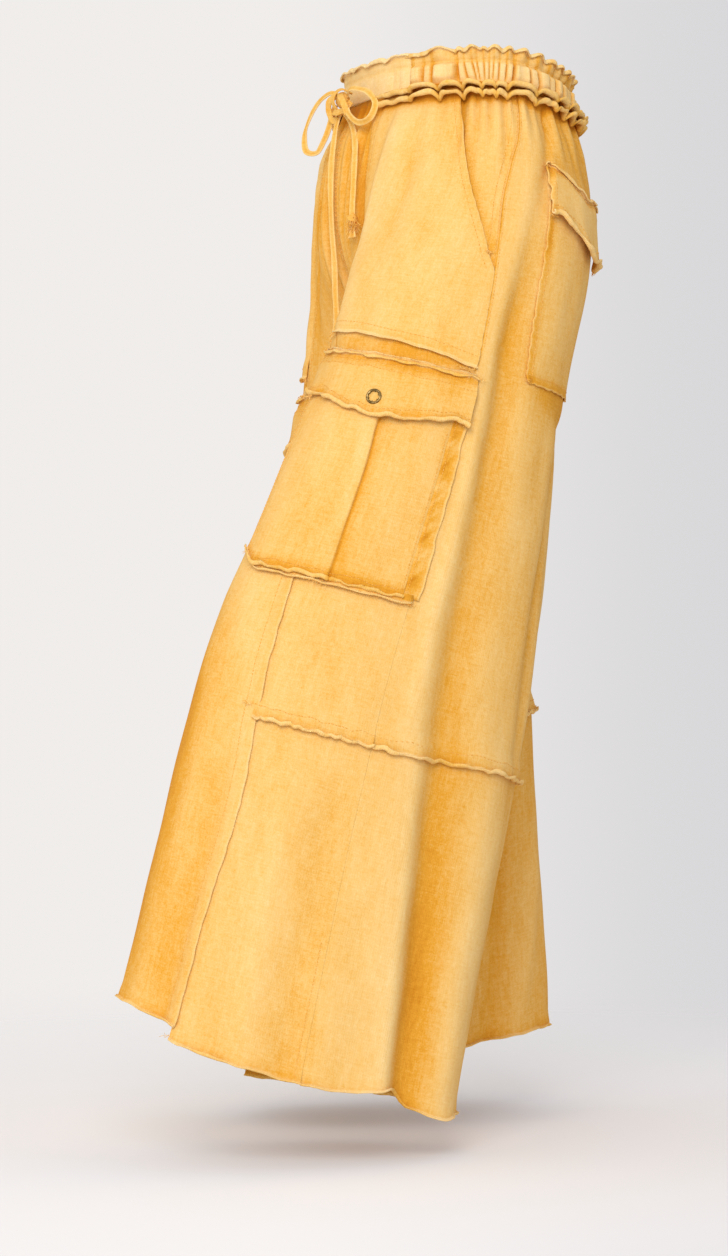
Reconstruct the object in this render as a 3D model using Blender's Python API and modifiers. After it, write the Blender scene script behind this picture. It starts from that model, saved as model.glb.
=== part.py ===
"""Wide-leg cargo trousers in washed terry knit, worn and in mid stride, with no wearer.

The frame: the origin is the middle of the waist opening at mid height of the elastic,
+Z up, the front faces -Y and the wearer's left leg is at +X. Every cloth piece lies on
one surface, worked out for each leg from the tables below:
  around  0 at the centre front and inseam, 0.5 about the side seam, 1 at the centre back
  drop    metres below the waist, along the hang of the cloth
"""

from math import pi

import bmesh
import bpy
import numpy as np
from mathutils import Matrix, Vector

# ---------------------------------------------------------------- driving sizes, in metres
CLOTH = 0.0015            # thickness of the terry knit
GAP = 0.0003              # free space between pieces at a seam
SEAM = 0.0005             # half of the free space beside a lengthwise seam, as a share around
WAIST_DIP_FRONT, WAIST_DIP_BACK = 0.003, 0.019    # the waist sits lower there than at the sides
CROTCH_DROP = 0.262       # waist to the bottom of the rise
RISE_START = 0.05         # the centre seams hang straight down to here
HEADING_TOP = -0.0215     # raw upper edge of the waistband
BAND_TOP, BAND_LOW = -0.0105, 0.013      # the elastic casing's two stitch lines
RUFFLE_LOW = 0.0265       # raw edge of the seam ruffle below the casing
RUFFLE_START = 0.125      # the ruffle begins here, behind the flat front
ELASTIC_START = 0.200     # the casing is flat in front of this point, gathered behind it
THIGH_SEAM = 0.262        # raw lapped seam above the cargo pocket, at the princess seam
KNEE_SEAM = 0.617
SIDE_SEAM = 0.485
LAP = 0.008               # how far a raw edge lies over the next panel
LAP_LIFT = 0.0024
GATHERS = 17              # waves of the elastic on each half

# the hips: one ring round both legs
HIPS = {
    "drop":  [-0.035, 0.000, 0.060, 0.130, 0.200, 0.262],
    "side":  [0.149, 0.150, 0.172, 0.188, 0.195, 0.196],
    "front": [0.100, 0.100, 0.121, 0.135, 0.133, 0.125],
    "back":  [0.098, 0.099, 0.113, 0.123, 0.128, 0.126],
}

# one section in each row: its tilt in degrees, then where it reaches along Y and out along X
LEFT_LEG = {
    "mirror": 1,
    "drop":  [0.000, 0.130, 0.200, 0.280, 0.360, 0.460, 0.580, 0.700, 0.840, 0.960],
    "tilt":  [0.0, 5.0, 8.0, 11.0, 13.0, 14.5, 15.0, 15.5, 16.0, 17.0],
    "front": [-0.110, -0.142, -0.160, -0.163, -0.192, -0.237, -0.290, -0.325, -0.362, -0.393],
    "back":  [0.100, 0.088, 0.075, 0.060, 0.050, 0.037, 0.018, -0.009, -0.042, -0.069],
    "outer": [0.170, 0.188, 0.195, 0.197, 0.198, 0.200, 0.204, 0.210, 0.220, 0.231],
    "inner": [0.000, 0.000, 0.000, 0.005, 0.010, 0.015, 0.020, 0.024, 0.028, 0.031],
}
RIGHT_LEG = {
    "mirror": -1,
    "drop":  [0.000, 0.130, 0.200, 0.280, 0.360, 0.460, 0.580, 0.700, 0.840, 0.960],
    "tilt":  [0.0, -1.0, -2.0, -4.0, -6.0, -8.0, -9.0, -10.0, -11.0, -12.0],
    "front": [-0.110, -0.133, -0.125, -0.120, -0.128, -0.136, -0.146, -0.158, -0.172, -0.184],
    "back":  [0.100, 0.122, 0.128, 0.127, 0.124, 0.120, 0.119, 0.126, 0.139, 0.149],
    "outer": [0.170, 0.188, 0.195, 0.197, 0.198, 0.200, 0.204, 0.210, 0.220, 0.231],
    "inner": [0.000, 0.000, 0.000, 0.005, 0.010, 0.015, 0.020, 0.024, 0.028, 0.031],
}
LEGS = {"L": LEFT_LEG, "R": RIGHT_LEG}

# the princess seam, from the waist round the thigh to the hem
PRINCESS = {
    "drop":   [0.000, 0.140, 0.200, 0.263, 0.350, 0.500, 0.620, 0.700, 0.800, 0.930],
    "around": [0.120, 0.160, 0.215, 0.247, 0.300, 0.354, 0.366, 0.371, 0.361, 0.354],
}
# the slanted front pocket's edge, which ends on the side seam
SLASH = {
    "drop":   [0.000, 0.030, 0.060, 0.100, 0.134, 0.165, 0.179, 0.192, 0.300],
    "around": [0.343, 0.345, 0.357, 0.384, 0.418, 0.452, 0.466, 0.485, 0.485],
}
SLASH_END = 0.192
# the hem's drop at points around each leg: a step down at the princess seam, wavy behind
HEM = {
    "L": {"around": [0.00, 0.05, 0.12, 0.21, 0.30, 0.350, 0.357, 0.41, 0.485, 0.53, 0.578, 0.605,
                     0.64, 0.69, 0.82, 1.00],
          "low": [0.931, 0.925, 0.907, 0.896, 0.898, 0.903, 0.914, 0.920, 0.921, 0.917, 0.905, 0.917,
                  0.920, 0.912, 0.912, 0.931]},
    "R": {"around": [0.00, 0.10, 0.21, 0.30, 0.350, 0.357, 0.41, 0.485, 0.53, 0.575, 0.63, 0.74,
                     0.86, 1.00],
          "low": [0.924, 0.916, 0.902, 0.898, 0.902, 0.912, 0.917, 0.918, 0.912, 0.908, 0.920, 0.936,
                  0.930, 0.924]},
}
HEM_STEP = (0.350, 0.357)    # where the front's hem ends and the side's begins

# rows shared by neighbouring panels, so that their edges run alike
ROWS = [0.0135, 0.032, 0.065, 0.100, 0.135, 0.165, 0.186, 0.215, 0.240, 0.253, 0.262,
        0.300, 0.340, 0.380, 0.430, 0.480, 0.530, 0.575, 0.600, 0.615,
        0.665, 0.720, 0.775, 0.830, 0.880]
EDGE_ROW = 0.004          # a panel's own edge row replaces a shared row this near
EDGE_REACH = 0.2          # and a slanting edge bends the rows this far from it
BACK_COLUMNS = [0.485, 0.500, 0.514, 0.528, 0.541, 0.554, 0.568, 0.584, 0.605, 0.638, 0.680,
                0.725, 0.770, 0.815, 0.862, 0.910, 0.955, 1.000]

# large folds: each follows a line down one leg or both, in below 0 and out above, and falls
# away over its front and back widths
FOLDS = [
    {"legs": "L", "front": 0.022, "back": 0.048,      # the long trough behind the side seam
     "drop":   [0.120, 0.200, 0.300, 0.420, 0.550, 0.650, 0.750, 0.850, 0.960],
     "around": [0.526, 0.528, 0.532, 0.540, 0.547, 0.558, 0.572, 0.584, 0.590],
     "height": [0.000, -.0065, -.0085, -.0085, -.0085, -.0105, -.0120, -.0130, -.0130]},
    {"legs": "L", "front": 0.036, "back": 0.020,      # the ridge in front of it
     "drop":   [0.150, 0.300, 0.450, 0.600, 0.750, 0.960],
     "around": [0.506, 0.508, 0.512, 0.520, 0.538, 0.562],
     "height": [0.000, 0.0025, 0.0030, 0.0035, 0.0045, 0.0055]},
    {"legs": "L", "front": 0.040, "back": 0.060,      # hem flare at the back
     "drop":   [0.560, 0.700, 0.960], "around": [0.620, 0.632, 0.640],
     "height": [0.000, 0.0060, 0.0110]},
    {"legs": "L", "front": 0.030, "back": 0.030,      # soft hollow in front of the side seam
     "drop":   [0.640, 0.720, 0.960], "around": [0.452, 0.462, 0.468],
     "height": [0.000, -.0030, -.0050]},
    {"legs": "L", "front": 0.045, "back": 0.022,      # hollow beside the princess seam
     "drop":   [0.560, 0.700, 0.850, 0.960], "around": [0.340, 0.344, 0.338, 0.334],
     "height": [0.000, -.0055, -.0070, -.0060]},
    {"legs": "L", "front": 0.060, "back": 0.050,
     "drop":   [0.520, 0.700, 0.960], "around": [0.780, 0.790, 0.800],
     "height": [0.000, -.0080, -.0120]},
    {"legs": "L", "front": 0.055, "back": 0.055,
     "drop":   [0.450, 0.650, 0.960], "around": [0.150, 0.145, 0.140],
     "height": [0.000, -.0070, -.0100]},
    {"legs": "LR", "front": 0.026, "back": 0.019,     # slanted crease in front of the princess seam
     "drop":   [0.030, 0.060, 0.100, 0.140, 0.185], "around": [0.092, 0.102, 0.119, 0.142, 0.174],
     "height": [0.000, -.0045, -.0062, -.0045, 0.000]},
    {"legs": "R", "front": 0.026, "back": 0.050,
     "drop":   [0.120, 0.220, 0.400, 0.650, 0.960], "around": [0.528, 0.530, 0.536, 0.548, 0.560],
     "height": [0.000, -.0065, -.0080, -.0090, -.0100]},
    {"legs": "R", "front": 0.050, "back": 0.060,
     "drop":   [0.480, 0.700, 0.960], "around": [0.600, 0.622, 0.640],
     "height": [0.000, 0.0070, 0.0110]},
    {"legs": "R", "front": 0.050, "back": 0.045,
     "drop":   [0.420, 0.650, 0.960], "around": [0.740, 0.752, 0.760],
     "height": [0.000, -.0070, -.0100]},
    {"legs": "R", "front": 0.050, "back": 0.060,
     "drop":   [0.500, 0.700, 0.960], "around": [0.235, 0.245, 0.250],
     "height": [0.000, -.0070, -.0100]},
    {"legs": "R", "front": 0.045, "back": 0.050,
     "drop":   [0.520, 0.700, 0.960], "around": [0.425, 0.420, 0.412],
     "height": [0.000, 0.0055, 0.0080]},
]
# soft pleats and gathers that hang from the waist seam, the same on both halves
GATHER_TOP, GATHER_FULL = 0.010, 0.032
WAIST_FOLDS = {
    "around": [0.038, 0.076, 0.560, 0.635, 0.710, 0.790, 0.870, 0.945],
    "low":    [0.200, 0.190, 0.090, 0.110, 0.110, 0.110, 0.130, 0.150],
    "height": [-.0045, -.0048, -.0030, -.0032, -.0035, -.0035, -.0035, -.0030],
    "width":  [0.018, 0.018, 0.022, 0.028, 0.030, 0.030, 0.030, 0.028],
}

# cargo pocket on the side of the thigh, its gusset and its flap
CARGO = {"back": 0.4745, "top": 0.302, "low": 0.494}
CARGO_FRONT = {"drop": [0.300, 0.494], "around": [0.230, 0.256]}
CARGO_LIFT, CARGO_FULLNESS, PLEAT_STEP = 0.0027, 0.0012, 0.0011
PLEAT = {"drop": [0.300, 0.345, 0.400, 0.450, 0.494], "around": [0.379, 0.386, 0.392, 0.394, 0.396]}
GUSSET = {"front": 0.4755, "back": 0.4925}
FLAP = {"front": 0.222, "back": 0.493, "top": 0.281, "slant": 0.009, "low": 0.328}
FLAP_LIFT, FLAP_POINT = 0.0068, 0.012
SNAP = {"around": 0.373, "drop": 0.3255, "ring": 0.0062, "wire": 0.0013}
# patch pocket on the seat, and its flap
PATCH = {"back": 0.790, "top": 0.118, "low": 0.281}
PATCH_FRONT = {"drop": [0.110, 0.200, 0.281], "around": [0.554, 0.558, 0.566]}
PATCH_LIFT = 0.0025
PATCH_FLAP = {"front": 0.551, "back": 0.795, "top": 0.084, "top_slant": 0.025, "low": 0.132,
              "low_slant": 0.030}
PATCH_FLAP_LIFT = 0.0058

# drawstring: a strip of the same knit, folded to a cord of this radius
CORD_RADIUS = 0.0028
KNOT = {"place": (0.000, -0.1160, -0.0115), "size": (0.0085, 0.0070, 0.0080)}
LOOPS = {
    "drawstring_loop_left": [
        (0.0098, -0.1150, -0.0090), (0.0200, -0.1160, -0.0020), (0.0360, -0.1130, -0.0010),
        (0.0540, -0.1090, -0.0070), (0.0640, -0.1070, -0.0200), (0.0600, -0.1100, -0.0340),
        (0.0450, -0.1155, -0.0390), (0.0290, -0.1195, -0.0310), (0.0170, -0.1195, -0.0210),
        (0.0094, -0.1185, -0.0165),
    ],
    "drawstring_loop_right": [
        (-0.0098, -0.1165, -0.0080), (-0.0200, -0.1195, -0.0030), (-0.0370, -0.1250, -0.0070),
        (-0.0520, -0.1310, -0.0220), (-0.0590, -0.1345, -0.0400), (-0.0540, -0.1345, -0.0550),
        (-0.0410, -0.1320, -0.0580), (-0.0310, -0.1300, -0.0480), (-0.0200, -0.1250, -0.0290),
        (-0.0098, -0.1205, -0.0155),
    ],
}
TAILS = {
    "drawstring_tail_left": [
        (0.0035, -0.1165, -0.0232), (0.0110, -0.1135, -0.0320), (0.0240, -0.1145, -0.0430),
        (0.0390, -0.1180, -0.0630), (0.0500, -0.1230, -0.0840), (0.0560, -0.1260, -0.1030),
        (0.0590, -0.1280, -0.1180), (0.0625, -0.1295, -0.1330), (0.0670, -0.1310, -0.1500),
    ],
    "drawstring_tail_right": [
        (-0.0040, -0.1175, -0.0232), (-0.0060, -0.1205, -0.0350), (-0.0045, -0.1245, -0.0560),
        (-0.0030, -0.1275, -0.0880), (-0.0015, -0.1280, -0.1070), (-0.0010, -0.1270, -0.1360),
        (0.0000, -0.1250, -0.1650), (0.0000, -0.1240, -0.1950), (0.0010, -0.1235, -0.2240),
        (-0.0040, -0.1245, -0.2400),
    ],
}


# ---------------------------------------------------------------- the form of the cloth
def smooth(t):
    """0 up to 0, 1 from 1 on, and an even S between."""
    t = np.clip(t, 0.0, 1.0)
    return t * t * (3 - 2 * t)


def read(table, name, at, by="drop"):
    """A column of a table at any drop, as a smooth curve with no overshoot."""
    x = np.asarray(table[by], float)
    y = np.asarray(table[name], float)
    step = np.diff(x)
    slope = np.diff(y) / step
    tangent = np.zeros_like(y)
    same = slope[:-1] * slope[1:] > 0
    total = np.where(same, slope[:-1] + slope[1:], 1.0)
    tangent[1:-1] = np.where(same, 2 * slope[:-1] * slope[1:] / total, 0.0)
    tangent[0], tangent[-1] = slope[0], slope[-1]
    at = np.asarray(at, float)
    i = np.clip(np.searchsorted(x, at, side="right") - 1, 0, len(x) - 2)
    t = np.clip((at - x[i]) / step[i], 0.0, 1.0)
    ends = y[i] * (1 + 2 * t) * (1 - t) ** 2 + y[i + 1] * t * t * (3 - 2 * t)
    return ends + step[i] * (tangent[i] * t * (1 - t) ** 2 - tangent[i + 1] * t * t * (1 - t))


def section(leg, around, drop):
    """The plain sections: half of the hip ring turns into the leg's own closed ring."""
    front, back = read(leg, "front", drop), read(leg, "back", drop)
    outer, inner = read(leg, "outer", drop), read(leg, "inner", drop)
    tilt = np.tan(np.radians(read(leg, "tilt", drop)))
    level = np.clip(drop, -0.035, CROTCH_DROP)
    own = smooth((drop - 0.03) / 0.27)
    mid_y, half_y = (front + back) / 2, (back - front) / 2
    mid_x, half_x = (outer + inner) / 2, (outer - inner) / 2
    turn = 2 * pi * around
    hip_x = read(HIPS, "side", level) * np.sin(pi * around)
    reach = np.where(around < 0.5, read(HIPS, "front", level), read(HIPS, "back", level))
    x = (1 - own) * hip_x + own * (mid_x - half_x * np.cos(turn))
    y = (1 - own) * -reach * np.cos(pi * around) + own * (mid_y - half_y * np.sin(turn))
    return np.stack([x, y, -drop - tilt * (y - mid_y * own)], -1)


def bare_form(leg, around, drop):
    """A point on one leg before its folds, as rows of x (outward), y, z."""
    around, drop = np.broadcast_arrays(np.asarray(around, float), np.asarray(drop, float))
    place = section(leg, around, drop)
    # both ends of a row lie on the rise, and below the crotch on the inseam
    level = np.minimum(drop, CROTCH_DROP)
    sweep = np.clip((level - RISE_START) / (CROTCH_DROP - RISE_START), 0, 1) * pi / 2
    rise_z = -np.where(level < RISE_START, level,
                       RISE_START + (CROTCH_DROP - RISE_START) * np.sin(sweep))
    fade = 1 - smooth((drop - CROTCH_DROP) / 0.22)
    middle = (read(leg, "front", drop) + read(leg, "back", drop)) / 2
    crotch = (read(leg, "front", CROTCH_DROP) + read(leg, "back", CROTCH_DROP)) / 2
    inseam = np.stack([(1 - fade) * read(leg, "inner", drop), middle - fade * crotch, -drop], -1)
    for end, reach in ((0.0, -read(HIPS, "front", level)), (1.0, read(HIPS, "back", level))):
        rise = np.stack([0 * level, reach * np.cos(sweep), rise_z], -1)
        target = np.where((drop > CROTCH_DROP)[..., None], inseam, rise)
        pull = 1 - smooth(np.abs(around - end) / 0.24)
        place = place + pull[..., None] * (target - section(leg, end + 0 * drop, drop))
    dip = WAIST_DIP_FRONT * (1 - smooth(around / 0.3)) + WAIST_DIP_BACK * smooth((around - 0.42) / 0.4)
    place[..., 2] -= dip * (1 - smooth(drop / 0.15))
    return place


def fold_height(key, around, drop):
    """How far the folds move the cloth out (or in, below 0)."""
    height = np.zeros(np.broadcast(around, drop).shape)
    for fold in FOLDS:
        if key in fold["legs"]:
            aside = around - read(fold, "around", drop)
            width = np.where(aside < 0, fold["front"], fold["back"])
            height += read(fold, "height", drop) * np.exp(-2.2 * (aside / width) ** 2)
    for middle, low, depth, width in zip(*WAIST_FOLDS.values()):
        along = smooth((drop - GATHER_TOP) / (GATHER_FULL - GATHER_TOP))
        along = along * (1 - smooth((drop - GATHER_FULL) / (low - GATHER_FULL)))
        height += depth * along * np.exp(-2.2 * ((around - middle) / width) ** 2)
    return height * smooth(around / 0.03) * smooth((1 - around) / 0.03)


def cloth(key, around, drop, lift=0.0):
    """A point on the folded cloth of leg "L" or "R", moved out by lift."""
    leg = LEGS[key]
    around, drop = np.broadcast_arrays(np.asarray(around, float), np.asarray(drop, float))
    here = bare_form(leg, around, drop)
    along = bare_form(leg, around + 1e-4, drop) - bare_form(leg, around - 1e-4, drop)
    down = bare_form(leg, around, drop + 1e-4) - bare_form(leg, around, drop - 1e-4)
    out = np.cross(down, along)
    out /= np.maximum(np.linalg.norm(out, axis=-1, keepdims=True), 1e-12)
    place = here + out * (fold_height(key, around, drop) + lift)[..., None]
    place[..., 0] = leg["mirror"] * np.maximum(place[..., 0], 0.7 * GAP)
    return place


def ring(way, drop, lift=0.0):
    """The same, all round the waist: way runs 0 to 1 on the left leg, then 1 to 2 back."""
    way, drop = np.broadcast_arrays(np.asarray(way, float), np.asarray(drop, float))
    lift = lift + 0 * way
    left = (way >= 0) & (way <= 1)
    around = np.where(left, way, np.where(way < 0, -way, 2 - way))
    return np.where(left[..., None], cloth("L", around, drop, lift),
                    cloth("R", around, drop, lift))


# ---------------------------------------------------------------- making solids
def material(name, colour, roughness, metallic=0.0):
    made = bpy.data.materials.new(name)
    made.use_nodes = True
    shader = made.node_tree.nodes["Principled BSDF"]
    shader.inputs["Base Color"].default_value = (*colour, 1.0)
    shader.inputs["Roughness"].default_value = roughness
    shader.inputs["Metallic"].default_value = metallic
    return made


def add_object(name, data, finish):
    """Puts a mesh or a curve in the garment's collection with its material."""
    obj = bpy.data.objects.new(name, data)
    obj.data.materials.append(finish)
    garment.objects.link(obj)
    return obj


def sheet(name, shape, columns, rows, mirrored=False):
    """A cloth wall: a grid laid on shape(across, down), both 0 to 1, then thickened inward.

    columns and rows hold the steps as shares, or their number.
    """
    columns = np.linspace(0, 1, columns + 1) if isinstance(columns, int) else np.array(columns)
    rows = np.linspace(0, 1, rows + 1) if isinstance(rows, int) else np.array(rows)
    made = bmesh.new()
    bmesh.ops.create_grid(made, x_segments=len(columns) - 1, y_segments=len(rows) - 1, size=0.5)
    grid = np.array([vertex.co[:2] for vertex in made.verts])
    column = np.rint((grid[:, 0] + 0.5) * (len(columns) - 1)).astype(int)
    row = np.rint((0.5 - grid[:, 1]) * (len(rows) - 1)).astype(int)
    for vertex, place in zip(made.verts, shape(columns[column], rows[row])):
        vertex.co = place
    if mirrored:
        bmesh.ops.reverse_faces(made, faces=made.faces)
    mesh = bpy.data.meshes.new(name)
    made.to_mesh(mesh)
    made.free()
    mesh.shade_smooth()
    wall = add_object(name, mesh, terry_knit).modifiers.new("wall", "SOLIDIFY")
    wall.thickness = CLOTH
    wall.offset = -1.0


def panel(name, key, left, right, top, low, columns, lift=None):
    """A cut piece on one leg, between two lines around(drop) and two edges drop(across)."""
    first, last = top(0.0), low(0.0)
    between = [row for row in ROWS if first + EDGE_ROW < row < last - EDGE_ROW]
    shares = (np.array(between) - first) / (last - first)

    def shape(across, down):
        drop = first + (last - first) * down
        near_top, near_low = 1 - (drop - first) / EDGE_REACH, 1 - (last - drop) / EDGE_REACH
        drop = (drop + (top(across) - first) * np.clip(near_top, 0, 1)
                + (low(across) - last) * np.clip(near_low, 0, 1))
        around = left(drop) + (right(drop) - left(drop)) * across
        return cloth(key, around, drop, 0.0 if lift is None else lift(around, drop))

    sheet(f"{name}_{key}", shape, columns, [0.0, *shares, 1.0], key == "R")


def line(value):
    """A line that stays at one value."""
    return lambda at: value + 0 * np.asarray(at, float)


def table_line(table, aside=0.0):
    return lambda drop: read(table, "around", drop) + aside


# ---------------------------------------------------------------- the legs
def thigh_edge(across):
    """The raw lower edge of the front side panel, which falls towards the side seam."""
    return THIGH_SEAM + 0.018 * np.asarray(across, float) ** 2


def raw_lip(edge):
    """Lifts the last stretch above a raw lower edge over the panel that it laps."""
    def lift(around, drop):
        return LAP_LIFT * smooth((drop - edge + LAP + 0.013) / 0.010)
    return lift


def front_side_lift(around, drop):
    across = (around - read(PRINCESS, "around", drop)) / (SIDE_SEAM - 0.25)
    return raw_lip(thigh_edge(across))(around, drop)


def facing_lift(around, drop):
    """The pocket facing lies under the slash edge and comes up to the side seam."""
    rise = smooth((around - read(SLASH, "around", drop) - 0.01) / 0.07)
    return -(CLOTH + GAP + 0.0009) * (1 - 0.8 * rise)


def hem_edge(key, start, end):
    """The hem between two lengthwise seams."""
    return lambda across: read(HEM[key], "low", start + (end - start) * np.asarray(across),
                               by="around")


def knee_edge(across):
    """The raw edge at the knee, a little higher behind the side seam."""
    return KNEE_SEAM + LAP - 0.009 * smooth(across / 0.3)


def make_leg(key):
    start, knee, below_knee = line(ROWS[0]), line(KNEE_SEAM + LAP), line(KNEE_SEAM)
    inseam_front, inseam_back = line(SEAM), line(1 - SEAM)
    before_seam, after_seam = line(SIDE_SEAM - SEAM), line(SIDE_SEAM + SEAM)
    before_princess, after_princess = table_line(PRINCESS, -SEAM), table_line(PRINCESS, SEAM)
    back_columns = (np.array(BACK_COLUMNS) - SIDE_SEAM) / (1 - SIDE_SEAM)

    panel("front_centre", key, inseam_front, before_princess, start, hem_edge(key, 0, HEM_STEP[0]), 11)
    panel("front_side", key, after_princess, table_line(SLASH, -SEAM), start, thigh_edge, 8,
          lift=front_side_lift)
    panel("pocket_facing", key, table_line(SLASH, -0.018), before_seam, start,
          line(SLASH_END), 5, lift=facing_lift)
    panel("side_mid", key, after_princess, before_seam, lambda a: thigh_edge(a) - LAP, knee, 8,
          lift=raw_lip(KNEE_SEAM + LAP))
    panel("side_low", key, after_princess, before_seam, below_knee,
          hem_edge(key, HEM_STEP[1], SIDE_SEAM), 8)
    panel("back_upper", key, after_seam, inseam_back, start, knee_edge, back_columns,
          lift=lambda around, drop: raw_lip(
              knee_edge((around - SIDE_SEAM) / (1 - SIDE_SEAM)))(around, drop))
    panel("back_low", key, after_seam, inseam_back, lambda a: knee_edge(a) - LAP,
          hem_edge(key, SIDE_SEAM, 1), back_columns)


# ---------------------------------------------------------------- the pockets
def cargo_lift(around, drop):
    """The face stands off the leg, fuller in the middle, its front half above the pleat."""
    front = read(CARGO_FRONT, "around", drop)
    across = (around - front) / (CARGO["back"] - front)
    down = np.clip((drop - CARGO["top"]) / (CARGO["low"] - CARGO["top"]), 0, 1)
    step = 1 - smooth((around - read(PLEAT, "around", drop) + 0.004) / 0.008)
    full = CARGO_FULLNESS * np.sin(pi * np.clip(across, 0, 1)) * np.sin(pi * down)
    return CARGO_LIFT + full + PLEAT_STEP * step


def gusset_lift(around, drop):
    """The gusset starts level with the face and comes down to the side seam."""
    across = (around - GUSSET["front"]) / (GUSSET["back"] - GUSSET["front"])
    return CARGO_LIFT - 0.0004 * smooth(across)


def make_cargo_pocket(key):
    def face(across, down):
        drop = CARGO["top"] + (CARGO["low"] - CARGO["top"]) * down
        front, pleat = read(CARGO_FRONT, "around", drop), read(PLEAT, "around", drop)
        before = front + (pleat - front) * across / 0.56
        after = pleat + (CARGO["back"] - pleat) * (across - 0.56) / 0.44
        around = np.where(across < 0.56, before, after)
        return cloth(key, around, drop, cargo_lift(around, drop))

    sheet(f"cargo_pocket_{key}", face, [0, .11, .22, .33, .44, .54, .58, .69, .80, .91, 1], 8,
          key == "R")
    panel("cargo_gusset", key, line(GUSSET["front"]), line(GUSSET["back"]),
          line(CARGO["top"]), line(CARGO["low"] - 0.002), 2, lift=gusset_lift)

    def flap(across, down):
        around = FLAP["front"] + (FLAP["back"] - FLAP["front"]) * across
        point = FLAP_POINT * np.exp(-(((around - 0.378) / 0.07) ** 2))
        top = FLAP["top"] + FLAP["slant"] * across
        drop = top + (FLAP["low"] + point - top) * down
        rise = smooth((drop - top - 0.0005) / 0.013)
        return cloth(key, around, drop, 0.0023 + (FLAP_LIFT - 0.0023) * rise)

    sheet(f"cargo_flap_{key}", flap, 12, [0, .17, .34, .55, .78, 1], key == "R")


def make_snap(key):
    """A ring on the flap, turned to lie flat on it."""
    ring_lift = FLAP_LIFT + SNAP["wire"] + 0.0006
    place = cloth(key, SNAP["around"], SNAP["drop"], ring_lift)
    out = place - cloth(key, SNAP["around"], SNAP["drop"], ring_lift - 0.001)
    mesh = bpy.data.meshes.new(f"snap_ring_{key}")
    made = bmesh.new()
    round_wire = bmesh.ops.create_circle(
        made, segments=8, radius=SNAP["wire"],
        matrix=Matrix.Translation((SNAP["ring"], 0, 0)) @ Matrix.Rotation(pi / 2, 4, "X"))
    edges = list({edge for vertex in round_wire["verts"] for edge in vertex.link_edges})
    bmesh.ops.spin(made, geom=round_wire["verts"] + edges, cent=(0, 0, 0), axis=(0, 0, 1),
                   angle=2 * pi, steps=20, use_merge=True)
    bmesh.ops.recalc_face_normals(made, faces=made.faces)
    made.transform(Vector(out).to_track_quat("Z", "Y").to_matrix().to_4x4())
    made.transform(Matrix.Translation(Vector(place)))
    made.to_mesh(mesh)
    made.free()
    mesh.shade_smooth()
    add_object(f"snap_ring_{key}", mesh, brass)


def make_seat_pocket(key):
    def flap(across, down):
        around = PATCH_FLAP["front"] + (PATCH_FLAP["back"] - PATCH_FLAP["front"]) * across
        top = PATCH_FLAP["top"] + PATCH_FLAP["top_slant"] * smooth(1.8 * across)
        low = PATCH_FLAP["low"] + PATCH_FLAP["low_slant"] * smooth(1.8 * across)
        drop = top + (low - top) * down
        rise = smooth(down / 0.25)
        return cloth(key, around, drop, 0.0023 + (PATCH_FLAP_LIFT - 0.0023) * rise)

    panel("back_pocket", key, table_line(PATCH_FRONT), line(PATCH["back"]), line(PATCH["top"]),
          line(PATCH["low"]), 9, lift=lambda around, drop: PATCH_LIFT + 0 * around)
    sheet(f"back_flap_{key}", flap, 9, [0, .2, .4, .7, 1], key == "R")


# ---------------------------------------------------------------- the waist
def gather_wave(way):
    """Even waves that start behind the flat front, the same on both halves."""
    around = np.where(way > 1, 2 - way, np.abs(way))
    start = np.clip((around - ELASTIC_START) / (1 - ELASTIC_START), 0, 1)
    return np.cos(2 * pi * GATHERS * start)


def make_waist():
    def elastic(across, down):
        way = ELASTIC_START + 0.003 + (2 - 2 * ELASTIC_START - 0.006) * across
        drop = HEADING_TOP + (BAND_LOW - HEADING_TOP) * down
        puff = smooth((drop - BAND_TOP) / 0.006) * smooth((BAND_LOW - drop) / 0.006)
        heading = smooth((BAND_TOP - drop) / 0.010)
        size = 0.0006 + 0.0012 * puff + 0.0020 * heading
        return ring(way, drop, 0.0012 + size * gather_wave(way) + 0.0015 * heading)

    def flat_front(across, down):
        way = ELASTIC_START * (2 * across - 1)
        drop = HEADING_TOP + (BAND_LOW - HEADING_TOP) * down
        return ring(way, drop, 0.0012)

    def ruffle(across, down):
        way = RUFFLE_START + (2 - 2 * RUFFLE_START) * across
        drop = ROWS[0] + 0.0006 + (RUFFLE_LOW - ROWS[0] - 0.0006) * down
        wave = np.sin(2 * pi * (GATHERS + 1) * np.where(way > 1, 2 - way, way))
        return ring(way, drop, 0.0026 + 0.0026 * down + 0.0018 * wave * down)

    sheet("waistband_elastic", elastic, 8 * GATHERS, [0, .30, .66, 1])
    sheet("waistband_front", flat_front, 16, [0, .32, .66, 1])
    sheet("waist_ruffle", ruffle, 8 * (GATHERS + 1) - 16, [0, .5, 1])


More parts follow.
